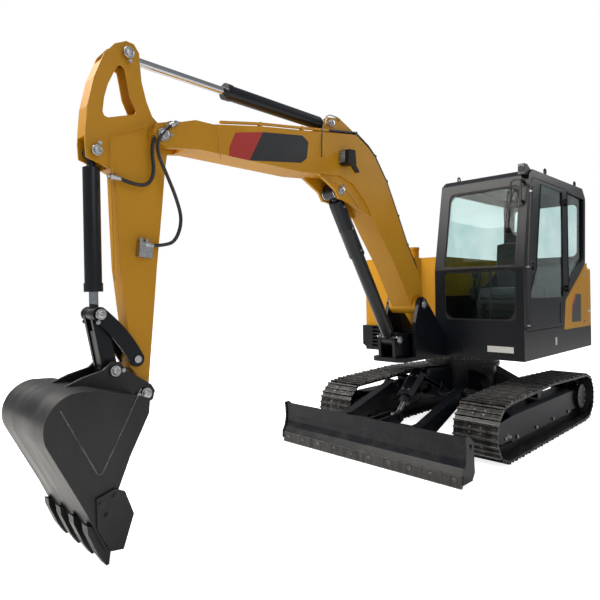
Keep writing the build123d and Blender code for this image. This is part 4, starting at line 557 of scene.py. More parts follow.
# %% Dress the nodes
SPECIAL = {name: name for name in RODS} | {
    "arm_valve": "zinc",
    "arm_pins": "zinc",
    "boom_pins": "zinc",
    "bucket_pins": "zinc",
    "boom_pipes": "boom_pipes",
    "cutting_edge": "edge_steel",
    "bucket_shell": "bucket_steel",
    "side_cutters": "bucket_steel",
    "bucket_teeth": "bucket_steel",
}
for name, obj in nodes.items():
    mat = finishes[SPECIAL.get(name, slots[name])]
    if obj.material_slots:
        for s in obj.material_slots:
            s.material = mat
    else:
        obj.data.materials.append(mat)
print("dressed", len(nodes))

# %% [markdown]
# ## Measuring on the machine
#
# Places are given in millimetres from the slewing axis, as a side view gives them: forward is minus y, and up
# is z. The boom, arm and bucket have their own frames, with one distance along the link and one across it.

# %% Places
def at(x, y, z):
    """A point in metres from millimetres measured from the slewing axis."""
    return Vector((x / 1000, y / 1000 + SLEW_Y, z / 1000))


def hang(link, u, v):
    """A side point (y, z) at u along and v across a link whose frame is (y, z, lean in degrees)."""
    y, z, lean = link
    s, c = math.sin(math.radians(lean)), math.cos(math.radians(lean))
    return y - u * s - v * c, z - u * c + v * s


BOOM_X = -78
BOOM = (-973, 1347, 111.6)
ARM = (*hang(BOOM, 2980, 0), 4.54)
BUCKET = (*hang(ARM, 1554, 0), 21.55)
BOOM_FOOT = BOOM[:2]
BOOM_CYLINDER_FOOT = (-1256, 1017)
BOOM_CYLINDER_EYE = hang(BOOM, 1383, 506)
ARM_CYLINDER_BASE = hang(BOOM, 1675, 985)
ARM_CYLINDER_EYE = hang(ARM, -432, 234)
BUCKET_CYLINDER_BASE = hang(ARM, 191, 378)
KNEE = hang(ARM, 1104, 293)
LINK_PIVOT = hang(BUCKET, -73, 230)
print("arm pivot", [round(v) for v in ARM[:2]], "bucket pivot", [round(v) for v in BUCKET[:2]])

# %% [markdown]
# ## Making pieces
#
# Every piece is a mesh made in place. A tube follows a smooth NURBS line through the space of its points.

# %% Pieces and tubes
def finish_piece(name, mesh, finish, body, smooth=True):
    """Puts a mesh in the scene as a piece that rides on a body."""
    obj = bpy.data.objects.new(name, mesh)
    scene.collection.objects.link(obj)
    mesh.materials.clear()
    mesh.materials.append(finishes[finish])
    for face in mesh.polygons:
        face.use_smooth = smooth
    if smooth:
        mesh.set_sharp_from_angle(angle=math.radians(38))
    if body:
        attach(obj, body)
    return obj


def evaluated_mesh(obj):
    """The mesh that an object comes out as. The object itself is removed."""
    bpy.context.view_layer.update()
    graph = bpy.context.evaluated_depsgraph_get()
    mesh = bpy.data.meshes.new_from_object(obj.evaluated_get(graph), depsgraph=graph)
    bpy.data.objects.remove(obj)
    return mesh


def tube(name, points, radius, finish, body, sides=4, order=3, cyclic=False):
    """A round tube along a smooth line through the space of its points."""
    data = bpy.data.curves.new(name, "CURVE")
    data.dimensions = "3D"
    data.bevel_depth = radius / 1000
    data.bevel_resolution = sides
    data.use_fill_caps = True
    data.resolution_u = 10
    spline = data.splines.new("NURBS")
    spline.points.add(len(points) - 1)
    for spot, point in zip(spline.points, points):
        spot.co = (*point, 1)
    spline.order_u = order
    spline.use_endpoint_u = not cyclic
    spline.use_cyclic_u = cyclic
    line = bpy.data.objects.new(name + "_line", data)
    scene.collection.objects.link(line)
    return finish_piece(name, evaluated_mesh(line), finish, body)


print("piece makers ready")

# %% [markdown]
# A plate is an outline given depth, and a block is the plainest plate. Several can go into one mesh before it
# is closed.

# %% Plates and blocks
def prism(bm, outline, origin, across, along, depth):
    """Adds an outline with depth to a bmesh. The outline is in millimetres along two directions."""
    across, along = Vector(across).normalized(), Vector(along).normalized()
    normal = across.cross(along)
    base = [bm.verts.new(origin + (across * a + along * b) / 1000) for a, b in outline]
    top = [bm.verts.new(v.co + normal * depth / 1000) for v in base]
    bm.faces.new(base[::-1])
    bm.faces.new(top)
    count = len(base)
    for i in range(count):
        j = (i + 1) % count
        bm.faces.new((base[i], base[j], top[j], top[i]))


def block(bm, low, high):
    """Adds a box between two corners, given in millimetres from the slewing axis."""
    (x0, y0, z0), (x1, y1, z1) = low, high
    wide, deep = x1 - x0, y1 - y0
    outline = [(0, 0), (wide, 0), (wide, deep), (0, deep)]
    prism(bm, outline, at(x0, y0, z0), (1, 0, 0), (0, 1, 0), z1 - z0)


print("plate makers ready")

# %% [markdown]
# A turned piece is a profile swept round an axis. A radius of nought gives one point on the axis, and the
# faces beside it are triangles.

# %% Turned shapes
def turned(bm, profile, origin, axis, count=32):
    """Adds a turned piece: a profile of (distance along, radius) in millimetres, swept round an axis."""
    axis = Vector(axis).normalized()
    side = axis.orthogonal().normalized()
    other = axis.cross(side)
    rings = []
    for along, radius in profile:
        centre = origin + axis * along / 1000
        if radius <= 0:
            rings.append([bm.verts.new(centre)])
            continue
        rings.append([
            bm.verts.new(centre + (side * math.cos(t) + other * math.sin(t)) * radius / 1000)
            for t in (2 * math.pi * k / count for k in range(count))
        ])
    for first, second in zip(rings, rings[1:]):
        for k in range(count):
            a, b = first[k % len(first)], first[(k + 1) % len(first)]
            c, d = second[(k + 1) % len(second)], second[k % len(second)]
            corner = [v for i, v in enumerate((a, b, c, d)) if v not in (a, b, c, d)[:i]]
            if len(corner) > 2:
                bm.faces.new(corner)


print("turned shapes ready")

# %% [markdown]
# A mesh is closed with outward faces. Its sharp edges can be rounded, and then it becomes a piece.

# %% Closing a mesh
SHARP = 0.5


def solid(name, bm, finish, body, smooth=True, round_mm=0.0):
    """Closes a bmesh with outward faces, rounds its sharp edges if asked, and makes it a piece."""
    bmesh.ops.recalc_face_normals(bm, faces=bm.faces)
    if round_mm:
        sharp = [e for e in bm.edges if len(e.link_faces) == 2 and e.calc_face_angle(0) > SHARP]
        bmesh.ops.bevel(
            bm, geom=sharp, offset=round_mm / 1000, segments=2, profile=0.5, affect="EDGES",
            clamp_overlap=True,
        )
    mesh = bpy.data.meshes.new(name)
    bm.to_mesh(mesh)
    bm.free()
    return finish_piece(name, mesh, finish, body, smooth)


print("closing ready")

# %% [markdown]
# ## Fasteners by Geometry Nodes
#
# One node tree makes every field of bolts: points that carry a facing direction and a size get a washer and a
# hexagon head, each turned a little differently by a seeded random value.

# %% The sockets of the bolt tree
bolt_tree = bpy.data.node_groups.new("bolt_field", "GeometryNodeTree")


def bolt_input(label, kind):
    """A named input of the bolt tree, by the identifier that a modifier knows it by."""
    return bolt_tree.interface.new_socket(label, in_out="INPUT", socket_type=kind).identifier


def gn(kind, *first, **named):
    """A node of the bolt tree with its inputs fed."""
    return add(bolt_tree, kind, *first, **named)


def times(source, value):
    """A socket of the bolt tree, multiplied."""
    return maths(bolt_tree, "MULTIPLY", source, value)


bolt_input("Geometry", "NodeSocketGeometry")
HEAD_RADIUS = bolt_input("Head Radius", "NodeSocketFloat")
HEAD_HEIGHT = bolt_input("Head Height", "NodeSocketFloat")
HEAD_SIDES = bolt_input("Head Sides", "NodeSocketInt")
BOLT_FINISH = bolt_input("Finish", "NodeSocketMaterial")
bolt_tree.interface.new_socket("Geometry", in_out="OUTPUT", socket_type="NodeSocketGeometry")
print("bolt inputs", [item.name for item in bolt_tree.interface.items_tree])

# %% [markdown]
# The head stands on its washer, and each point's instance is aligned with its facing direction first and
# then spun about its own axis.

# %% The bolt tree
WASHER_SIDES, FULL_TURN = 20, 6.28

asked = gn("NodeGroupInput").outputs
washer_radius, washer_height = times(asked["Head Radius"], 1.35), times(asked["Head Height"], 0.5)
washer = gn("GeometryNodeMeshCylinder", Vertices=WASHER_SIDES, Radius=washer_radius, Depth=washer_height)
hexagon = gn(
    "GeometryNodeMeshCylinder", Vertices=asked["Head Sides"], Radius=asked["Head Radius"],
    Depth=times(asked["Head Height"], 2.0),
)
both_heads = gn("GeometryNodeJoinGeometry")
for part in (washer, hexagon):
    feed(bolt_tree, both_heads.inputs[0], part.outputs["Mesh"])
points = gn("GeometryNodeMeshToPoints", asked["Geometry"])
facing = gn("GeometryNodeInputNamedAttribute", Name="facing")
facing.data_type = "FLOAT_VECTOR"
aligned = gn("FunctionNodeAlignRotationToVector", Vector=facing.outputs[0])
aligned.axis = "Z"
any_turn = gn("FunctionNodeRandomValue", Seed=7)
any_turn.data_type = "FLOAT"
any_turn.inputs[3].default_value = FULL_TURN
spin = gn("ShaderNodeCombineXYZ", Z=any_turn.outputs[1])
spun = gn("FunctionNodeRotateRotation", aligned.outputs[0], spin.outputs[0])
spun.rotation_space = "LOCAL"
placed = gn(
    "GeometryNodeInstanceOnPoints", points.outputs["Points"], Instance=both_heads.outputs[0],
    Rotation=spun.outputs[0],
)
real = gn("GeometryNodeRealizeInstances", placed.outputs[0])
dressed_bolts = gn("GeometryNodeSetMaterial", real.outputs[0], Material=asked["Finish"])
gn("NodeGroupOutput", dressed_bolts.outputs[0])
print("bolt tree nodes", len(bolt_tree.nodes))

# %% [markdown]
# A field of bolts is a mesh of loose points with that tree on it, turned into a plain mesh.

# %% Fields of bolts
def bolts(name, spots, radius, height, body, finish="zinc", sides=6):
    """A field of bolts. Each spot is a place and the direction its head faces."""
    seeds = bpy.data.meshes.new(name + "_seeds")
    seeds.from_pydata([tuple(p) for p, _ in spots], [], [])
    way = seeds.attributes.new("facing", "FLOAT_VECTOR", "POINT")
    for item, (_, direction) in zip(way.data, spots):
        item.vector = direction
    field = bpy.data.objects.new(name + "_seeds", seeds)
    scene.collection.objects.link(field)
    maker = field.modifiers.new("bolts", "NODES")
    maker.node_group = bolt_tree
    maker[HEAD_RADIUS] = radius / 1000
    maker[HEAD_HEIGHT] = height / 1000
    maker[HEAD_SIDES] = sides
    maker[BOLT_FINISH] = finishes[finish]
    return finish_piece(name, evaluated_mesh(field), finish, body, smooth=False)


def ring_spots(centre, radius, angles, axis_x):
    """Spots on a circle in a plane across x, all facing along x."""
    x, y, z = centre
    return [
        (at(x, y + radius * math.cos(t), z + radius * math.sin(t)), (axis_x, 0, 0))
        for t in (math.radians(angle) for angle in angles)
    ]


print("bolt maker ready")

# %% [markdown]
# ## Pins
#
# Each pivot of the boom, arm and bucket shows a bright pin head in a washer, with one keeper bolt beside it.

# %% Pin heads
def pin_heads(name, body, pins):
    """Pin heads on both sides of a link: side point, half width, radius, keeper's angle and height."""
    bm = bmesh.new()
    keepers = []
    for (y, z), half, radius, angle, high in pins:
        rim, flank = radius + 9, radius - 1
        profile = [
            (0, rim), (high * 0.2, rim), (high * 0.33, radius + 7), (high * 0.33, flank),
            (high * 0.83, flank), (high, radius - 5), (high, 9), (high * 0.8, 7), (high * 0.8, 0),
        ]
        for side in (-1, 1):
            turned(bm, profile, at(BOOM_X + side * half, y, z), (side, 0, 0), 36)
            keepers += ring_spots((BOOM_X + side * (half + 2), y, z), radius + 24, [angle], side)
    solid(name, bm, "zinc", body)
    bolts(name + "_keepers", keepers, 9, 7, body)


pin_heads("boom_pin_heads", "boom", [
    (ARM[:2], 125, 30, 10, 18), (ARM_CYLINDER_BASE, 86, 25, 200, 18), (BOOM_CYLINDER_EYE, 104, 30, 60, 18),
])
pin_heads("foot_pin_heads", "upper", [(BOOM_FOOT, 202, 32, 90, 18), (BOOM_CYLINDER_FOOT, 108, 30, 150, 18)])
pin_heads("arm_pin_heads", "arm", [
    (ARM_CYLINDER_EYE, 82, 25, 280, 18), (BUCKET_CYLINDER_BASE, 82, 22, 70, 18),
])
pin_heads("knee_pin_heads", "rocker", [(KNEE, 91, 22, 250, 14)])
pin_heads("bucket_pin_heads", "bucket", [(BUCKET[:2], 119, 25, 180, 18), (LINK_PIVOT, 119, 22, 0, 18)])

# %% [markdown]
# ## Hoses
#
# Two hoses cross from the boom's tip to the arm: one bends down to the bucket's cylinder, and one hangs in a
# wide loop to the valve block.

# %% Hoses at the arm
HOSE_RADIUS, FOOT_HOSE_RADIUS, CABLE_RADIUS = 11, 14, 4


def hose(name, runs, radius, body=None, sides=4):
    """A black hose through places in millimetres, riding on the body if one is given."""
    return tube(name, [at(*p) for p in runs], radius, "hose_rubber", body, sides)


bucket_hose = hose("bucket_cylinder_hose", [
    (24, -3722, 2505), (26, -3790, 2450), (26, -3815, 2340), (24, -3795, 2210), (20, -3835, 2125),
    (16, -3920, 2118), (10, -4000, 2140),
], HOSE_RADIUS)
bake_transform(bucket_hose)
valve_hose = hose("valve_hose", [
    (52, -3700, 2505), (58, -3775, 2440), (58, -3800, 2330), (54, -3730, 2200), (50, -3660, 2060),
    (46, -3620, 1930), (42, -3665, 1800), (30, -3740, 1772), (14, -3800, 1768),
], HOSE_RADIUS)
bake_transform(valve_hose)
print("hoses", bucket_hose.name, valve_hose.name)

# %% [markdown]
# Both ends of a hose are pressed into ribbed sleeves with a nut.

# %% Hose ends
FITTING_RIBS = [
    (0, 0), (0.12, 3), (0.2, 1), (0.28, 3), (0.36, 1), (0.44, 3), (0.55, 1), (0.56, 6), (0.78, 6), (0.8, -4),
    (1, -4),
]


def fitting(bm, start, end, radius=12):
    """Adds a pressed hose end: a ribbed sleeve, a nut and a neck between two places."""
    start, end = at(*start), at(*end)
    length = (end - start).length * 1000
    ribs = [(length * part, radius + more) for part, more in FITTING_RIBS]
    turned(bm, [(0, 0), *ribs, (length, 0)], start, end - start, 18)


for name, body, ends in (
    ("tip_fittings", "boom", (
        ((24, -3722, 2505), (24, -3668, 2540)), ((52, -3700, 2505), (52, -3646, 2540)),
    )),
    ("arm_fittings", "arm", (
        ((14, -3800, 1768), (4, -3866, 1772)), ((10, -4000, 2140), (0, -4078, 2150)),
    )),
):
    bm = bmesh.new()
    for start, end in ends:
        fitting(bm, start, end)
    solid(name, bm, "zinc", body)

# %% [markdown]
# A pair of hoses follows the back of the boom and drops to the bracket at its foot. The lamp's cable makes a
# loop on the boom's side.

# %% Hoses at the boom
for side, x in (("left", 22), ("right", -178)):
    crossing = hose(f"boom_foot_hose_{side}", [
        (x, *hang(BOOM, 200, 408)), (x, *hang(BOOM, 60, 330)), (x, -1010, 1560), (x, -940, 1490),
        (x - 14, -880, 1330), (x - 22, -862, 1180), (x - 22, -862, 1090),
    ], FOOT_HOSE_RADIUS)
    start, end = at(x, *hang(BOOM, 120, 370)), at(x, -880, 1330)
    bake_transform(crossing)
hose("lamp_cable", [
    (44, -2330, 2560), (46, -2330, 2700), (30, -2300, 2830), (-20, -2190, 2952), (-30, -2090, 2962),
    (0, -2055, 2940), (6, -2080, 2915),
], CABLE_RADIUS, "boom", sides=2)

# %% [markdown]
# ## Rod guard
#
# A black cover is bolted round the rod of the boom's cylinder. It starts below the rod's eye, reaches over
# the end of the barrel and travels with the rod.

# %% Rod guard
GUARD_PROFILE = [
    (925, 66), (925, 70), (940, 72), (955, 70), (1180, 69), (1185, 71), (1200, 71), (1205, 69), (1436, 68),
    (1461, 60), (1468, 44), (1468, 34), (1462, 34), (1454, 56), (1434, 64), (925, 66),
]
GUARD_RADIUS = 0.070

foot, eye = at(BOOM_X, *BOOM_CYLINDER_FOOT), at(BOOM_X, *BOOM_CYLINDER_EYE)
run = (eye - foot).normalized()
bm = bmesh.new()
turned(bm, GUARD_PROFILE, foot, run, 48)
solid("boom_rod_guard", bm, "cylinder_paint", "boom_cylinder_rod")
spots = [
    (foot + run * u / 1000 + way * GUARD_RADIUS, way)
    for u in (975, 1192, 1400) for way in (Vector((1, 0, 0)), Vector((-1, 0, 0)))
]
bolts("rod_guard_bolts", spots, 8, 6, "boom_cylinder_rod")
print("guard bolts", len(spots))

# %% [markdown]
# ## Weld seams
#
# Weldments show where their plates meet. Thin beads follow the arm's side plate, the knee of the boom and the
# reinforcing plates on the bucket's side.

# %% Weld seams
ARM_FACE, BOOM_FACE, BUCKET_FACE = 3, BOOM_X + 115, 241
CUTTER_SPOTS = ((-4235, 417), (-4204, 351), (-4162, 439))


def bead(name, x, places, radius, body, finish="yellow_paint"):
    """A weld bead on a face at x, along side points in millimetres."""
    tube(name, [at(x, y, z) for y, z in places], radius, finish, body, sides=2, order=2)


bead("arm_bead", ARM_FACE, [
    (-4040, 1560), (-4049, 2015), (-4055, 2340), (-4050, 2380), (-4025, 2402), (-3840, 2482),
], 4, "arm")
bead("boom_knee_bead", BOOM_FACE, [
    (-2360, 2402), (-2228, 2398), (-2100, 2372), (-1980, 2320), (-1880, 2240), (-1800, 2150),
], 4, "boom")
bead("boom_tip_bead", BOOM_FACE, [(-3345, 2590), (-3337, 2554), (-3315, 2365)], 3, "boom")
bead("bucket_bead", BUCKET_FACE, [
    (-4428, 917), (-4236, 543), (-4007, 966),
], 3.5, "bucket", "edge_steel")
for name, x, way in (("cutter_bolts", 255, 1), ("cutter_bolts_far", -411, -1)):
    bolts(name, [(at(x, y, z), (way, 0, 0)) for y, z in CUTTER_SPOTS], 13, 8, "bucket", "bucket_steel")

# %% [markdown]
# ## Blank panels and stripes
#
# The coloured fields of the boom and the side cover stay blank. Each is a thin film with cut corners, a red
# part and a dark part, that lies on the paint.

# %% Films
COVER_FACE = 926
FILM_DEPTH = 0.8


def film(name, x, outline, finish, body):
    """A thin film on a face that looks to the left, from side points."""
    bm = bmesh.new()
    prism(bm, outline, at(x, 0, 0), (0, 1, 0), (0, 0, 1), FILM_DEPTH)
    solid(name, bm, finish, body, smooth=False)


film("boom_film_red", BOOM_FACE, [
    (-3248, 2404), (-3244, 2466), (-3191, 2575), (-2944, 2631), (-3071, 2404),
], "red_film", "boom")
film("boom_film_dark", BOOM_FACE, [
    (-2944, 2631), (-2541, 2690), (-2475, 2653), (-2496, 2520), (-2555, 2476), (-3071, 2404),
], "dark_film", "boom")
film("cover_film_dark", COVER_FACE, [
    (760, 1118), (1060, 1116), (1066, 1424), (880, 1430), (765, 1310),
], "dark_film", "upper")
film("cover_film_red", COVER_FACE + 0.9, [
    (765, 1310), (880, 1430), (900, 1430), (900, 1400), (790, 1290), (790, 1240), (762, 1238),
], "red_film", "upper")
film("cover_stripe", COVER_FACE, [
    (1312, 1238), (1400, 1236), (1400, 1212), (1312, 1214),
], "white_film", "upper")
film("skirt_plate_side", COVER_FACE, [
    (240, 905), (285, 905), (285, 985), (240, 985),
], "white_film", "upper")

# %% [markdown]
# The front skirt carries a blank white plate, and the side cover two round locks.

# %% Plate and locks
bm = bmesh.new()
prism(bm, [(0, 0), (258, 0), (258, 58), (0, 58)], at(566, -557, 884), (1, 0, 0), (0, 0, 1), -1.2)
solid("skirt_plate_front", bm, "white_film", "upper", False, 0.4)
bm = bmesh.new()
flush_lock = [(-2, 0), (-2, 22), (4, 22), (7, 19), (7, 8), (3, 8), (3, 0)]
turned(bm, flush_lock, at(COVER_FACE, 1176, 1645), (1, 0, 0), 24)
turned(bm, [(-2, 0), (-2, 17), (8, 17), (11, 13), (11, 0)], at(COVER_FACE, 1193, 1098), (1, 0, 0), 24)
solid("cover_locks", bm, "zinc", "upper")
print("plate and locks laid")

# %% [markdown]
# ## Tracks
#
# The shoes are bolted to the chain's links with four bolts each, so the chain's path is followed again: along
# the ground, round the sprocket, up to the carrier roller, down to the idler and round it.

# %% The chain's line
TRACK_X = 785
WHEEL_Y, PIN_RADIUS, WHEEL_Z, CARRIER_LIFT, SHOES = 1040, 206, 264, 36, 38
RISE = math.atan(CARRIER_LIFT / WHEEL_Y)
ARC = PIN_RADIUS * (math.pi - RISE)
RAMP = (WHEEL_Y + PIN_RADIUS * math.sin(RISE)) / math.cos(RISE)
PITCH = (2 * WHEEL_Y + 2 * ARC + 2 * RAMP) / SHOES


def chain_pin(s):
    """Side point of the chain's pin line, s along it from the bottom front."""
    s %= PITCH * SHOES
    if s <= 2 * WHEEL_Y:
        return s - WHEEL_Y, WHEEL_Z - PIN_RADIUS
    s -= 2 * WHEEL_Y
    if s <= ARC:
        t = s / PIN_RADIUS - math.pi / 2
        return WHEEL_Y + PIN_RADIUS * math.cos(t), WHEEL_Z + PIN_RADIUS * math.sin(t)
    s -= ARC
    far, high = WHEEL_Y + PIN_RADIUS * math.sin(RISE), WHEEL_Z + PIN_RADIUS * math.cos(RISE)
    if s <= RAMP:
        return far - s * math.cos(RISE), high + s * math.sin(RISE)
    s -= RAMP
    if s <= RAMP:
        return -s * math.cos(RISE), high + (RAMP - s) * math.sin(RISE)
    s -= RAMP
    t = math.pi / 2 + RISE + s / PIN_RADIUS
    return PIN_RADIUS * math.cos(t) - WHEEL_Y, WHEEL_Z + PIN_RADIUS * math.sin(t)


print("track pitch", round(PITCH, 2))

# %% [markdown]
# Each track has its shoe bolts, a ring of bolts on the final drive, and bolts at the rollers and the idler's
# plate. The slewing ring has thirty of its own.

# %% Shoe, hub and roller bolts
SHOE_BOLT_X, SHOE_BOLT_STEP, SHOE_TOP = 49, 22, 41
FRAME_FACE, HUB_FACE, HUB_RADIUS = TRACK_X + 105, TRACK_X + 142, 105
RING_RADIUS, RING_Z, RING_BOLTS = 392, 771, 30

for side, name in ((1, "left"), (-1, "right")):
    spots = []
    for i in range(SHOES):
        (y0, z0), (y1, z1) = chain_pin(i * PITCH), chain_pin((i + 1) * PITCH)
        along = Vector((0, y1 - y0, z1 - z0)).normalized()
        outward = Vector((0, along.z, -along.y))
        middle = Vector((0, (y0 + y1) / 2, (z0 + z1) / 2))
        for x in (-SHOE_BOLT_X, SHOE_BOLT_X):
            for step in (-SHOE_BOLT_STEP, SHOE_BOLT_STEP):
                spot = middle + along * step + outward * SHOE_TOP
                spots.append((at(side * TRACK_X + x, spot.y, spot.z), outward))
    bolts(f"shoe_bolts_{name}", spots, 7.5, 5, "undercarriage", "shoe_bolt")
    hub = ring_spots((side * HUB_FACE, WHEEL_Y, WHEEL_Z), HUB_RADIUS, range(0, 360, 40), side)
    bolts(f"hub_bolts_{name}", hub, 8, 6, "undercarriage")
    rollers = [(side * (FRAME_FACE + 8), place * 450, 148) for place in (-1.5, -0.5, 0.5, 1.5)]
    plate = [(side * FRAME_FACE, -WHEEL_Y + 130 + 45 * k, 175 + 14 * (k % 2)) for k in range(3)]
    frame_spots = [(at(*place), (side, 0, 0)) for place in rollers + plate]
    bolts(f"frame_bolts_{name}", frame_spots, 13, 9, "undercarriage")

ring = [
    (at(RING_RADIUS * math.cos(t), RING_RADIUS * math.sin(t), RING_Z), (math.cos(t), math.sin(t), 0.35))
    for t in (2 * math.pi * k / RING_BOLTS for k in range(RING_BOLTS))
]
bolts("ring_bolts", ring, 9, 7, "undercarriage")
print("shoe bolts", len(spots), "a side")

# %% [markdown]
# ## The blade and the guard
#
# The cutting edge is held by a row of plough bolts, and the guard over the blade's cylinder by two bolts a
# side. A short hose leads to that cylinder.

# %% Blade bolts
EDGE_Y, EDGE_Z = -1840, 62
BLADE_TOP, BLADE_EYE = Vector((0, -837, 664)), Vector((0, -1300, 300))
GUARD_LIFT = 75

plough = [(at(x, EDGE_Y, EDGE_Z), (0, -1, 0.04)) for x in range(-900, 901, 200)]
bolts("edge_bolts", plough, 11, 5, "blade", "edge_steel", sides=12)
run = (BLADE_EYE - BLADE_TOP).normalized()
rise = Vector((0, run.z, -run.y))
spots = []
for x in (-34, 34):
    for along in (120, 300):
        p = BLADE_TOP + run * along + rise * GUARD_LIFT
        spots.append((at(x, p.y, p.z), rise))
bolts("guard_bolts", spots, 10, 8, "blade_cylinder_barrel")
hose("blade_hose", [
    (112, -640, 560), (135, -700, 500), (150, -780, 470), (190, -740, 440), (230, -650, 470),
], 9, "undercarriage")
print("blade bolts", len(plough), "guard bolts", len(spots))

# %% [markdown]
# ## Cab
#
# The cab's front is upright below the bar and slopes back above it. Everything on the windscreen is placed by
# its width and height on that face.

# %% The cab's front
BAR_Z, FRONT_Y = 1690, -556
SLOPE = 171 / 890


def screen_point(x, z, proud=3):
    """A point on the cab's front face, or a little proud of it."""
    y = FRONT_Y if z < BAR_Z else FRONT_Y + (z - BAR_Z) * SLOPE
    return at(x, y - proud, z)


def rounded(low, high, radii, steps=7):
    """Points round a rectangle with rounded corners, each with the sharp corner that it belongs to."""
    (x0, z0), (x1, z1) = low, high
    corners = ((x0, z0, 1, 1, 180), (x1, z0, -1, 1, 270), (x1, z1, -1, -1, 0), (x0, z1, 1, -1, 90))
    course = []
    for (x, z, sx, sz, start), radius in zip(corners, radii):
        for k in range(steps + 1):
            t = math.radians(start + 90 * k / steps)
            point = (x + sx * radius + radius * math.cos(t), z + sz * radius + radius * math.sin(t))
            course.append((point, (x, z)))
    return course


print("front at the roof", [round(v, 3) for v in screen_point(480, 2580)])

# %% [markdown]
# The windscreen has a black printed border with round inner corners, in an upper and a lower part.

# %% Windscreen borders
BORDER_DEPTH, BORDER_SINK = 5, 14


def border(name, low, high, rim, radii):
    """A black printed border round a pane of the windscreen."""
    bm = bmesh.new()
    inner = rounded((low[0] + rim, low[1] + rim), (high[0] - rim, high[1] - rim), radii)
    middle_x, middle_z = (low[0] + high[0]) / 2, (low[1] + high[1]) / 2
    corners = {}
    loops = []
    for level in (0, BORDER_DEPTH):
        sunk = level - BORDER_SINK
        near = [bm.verts.new(screen_point(x, z, sunk)) for (x, z), _ in inner]
        far = []
        for _, (x, z) in inner:
            spot = (low[0] if x < middle_x else high[0], low[1] if z < middle_z else high[1])
            if (spot, level) not in corners:
                corners[spot, level] = bm.verts.new(screen_point(*spot, sunk))
            far.append(corners[spot, level])
        loops.append((near, far))
    (n0, f0), (n1, f1) = loops
    for i in range(len(inner)):
        j = (i + 1) % len(inner)
        for one, two in ((n0, f0), (n1, f1), (n0, n1), (f0, f1)):
            quad = (one[i], one[j], two[j], two[i])
            face = [v for k, v in enumerate(quad) if v not in quad[:k]]
            if len(face) > 2:
                bm.faces.new(face)
    solid(name, bm, "rubber", "upper", False)


border("screen_border_upper", (104, 1703), (852, 2488), 14, (12, 12, 95, 95))
border("screen_border_lower", (104, 1185), (852, 1668), 14, (95, 95, 12, 12))

# %% [markdown]
# Rubber seals run round the side panes, with their corners lightly rounded.

# %% Seals
LEFT_FACE, RIGHT_FACE, SEAL_RADIUS = 927, -1, 5
SEALS = [
    ("door_seal", LEFT_FACE, "cab_door", [
        (-400, 1400), (-400, 1450), (-235, 1700), (-225, 1800), (-90, 2530), (505, 2520), (490, 1400),
    ]),
    ("quarter_seal", LEFT_FACE, "upper", [(660, 1520), (1180, 1835), (1215, 2530), (660, 2560)]),
    ("right_seal", RIGHT_FACE, "upper", [
        (-460, 1420), (-460, 1690), (-310, 2520), (1160, 2540), (1150, 1850), (560, 1500), (440, 1420),
    ]),
]

for name, x, body, outline in SEALS:
    seal_line = []
    for i, spot in enumerate(outline):
        here = at(x, *spot)
        for other in (at(x, *outline[i - 1]), at(x, *outline[(i + 1) % len(outline)])):
            seal_line.append(here + (other - here).normalized() * min(0.06, (other - here).length * 0.3))
        seal_line.insert(-1, here)
    tube(name, seal_line, SEAL_RADIUS, "rubber", body, sides=2, cyclic=True)
print("seals", len(SEALS))

# %% [markdown]
# A wiper rests on the windscreen, and small bright clamps hold the grab rail.

# %% Wiper and clamps
bm = bmesh.new()
turned(bm, [(0, 0), (0, 17), (16, 17), (20, 13), (20, 0)], screen_point(800, 2440, 0), (0, -1, 0.19), 20)
solid("wiper_motor", bm, "rubber", "upper")
for name, line, radius, sides in (
    ("wiper_arm", [(800, 2440, 18), (770, 2330, 20), (735, 2200, 14)], 5, 4),
    ("wiper_blade", [(735, 2440, 6), (735, 2200, 9), (735, 1960, 6)], 6, 2),
):
    tube(name, [screen_point(*p) for p in line], radius, "rubber", "upper", sides)

bm = bmesh.new()
for z, lean in ((1150, 0.02), (1690, 0.06), (2400, 0.16)):
    y = -548 if z < 1700 else -545 + (z - 1685) * 105 / 755
    turned(bm, [(-7, 12), (-7, 18.5), (7, 18.5), (7, 12), (-7, 12)], at(966, y, z), (0, lean, 1), 28)
solid("rail_clamps", bm, "zinc", "upper")
print("wiper and clamps placed")

# %% [markdown]
# The lamps get a dim faceted lens, made of small rounded blocks in rows.

# %% Lamp lenses
def lamp_lens(name, body, corner, rows, row_step, tall, deep):
    """A lens of small blocks, in four columns, from the corner of the first block."""
    x, y, z = corner
    bm = bmesh.new()
    for row in range(rows):
        for column in range(4):
            left, low = x + column * 14, z + row * row_step
            block(bm, (left, y, low), (left + 12, y + deep, low + tall))
    solid(name, bm, "lamp_lens", body, False, 1.0)


lamp_lens("cab_lamp_lens", "upper", (850, -452, 2583), 6, 14.5, 12, 2.5)
lamp_lens("boom_lamp_lens", "boom", (44, -2115.5, 2551), 5, 18, 15, 11.5)

# %% [markdown]
# The cab is lifted by three eyes on its roof, each a ring on a short stud.

# %% Roof eyes
ROOF_Z, EYE_Z, EYE_RADIUS = 2643, 2696, 27
STUD_PROFILE = [(-4, 0), (-4, 24), (8, 24), (12, 16), (30, 14), (30, 0)]

for tag, x, y in (("front", 880, 150), ("rear", 880, 1060), ("right", 60, -120)):
    bm = bmesh.new()
    turned(bm, STUD_PROFILE, at(x, y, ROOF_Z), (0, 0, 1), 20)
    solid(f"roof_stud_{tag}", bm, "dark_paint", "upper")
    eye_line = [p for p, _ in ring_spots((x, y, EYE_Z), EYE_RADIUS, range(0, 360, 45), 1)]
    tube(f"roof_eye_{tag}", eye_line, 8, "dark_paint", "upper", cyclic=True)

# %% [markdown]
# ## Seat
#
# The seat stands for the CAD model's plain blocks. Its cushions are soft shapes: a rounded block that is
# crowned, sags a little where it is sat on, and is drawn in along its stitched lines.

# %% Cushions
SIDE_LINES = (-0.62, 0.62)


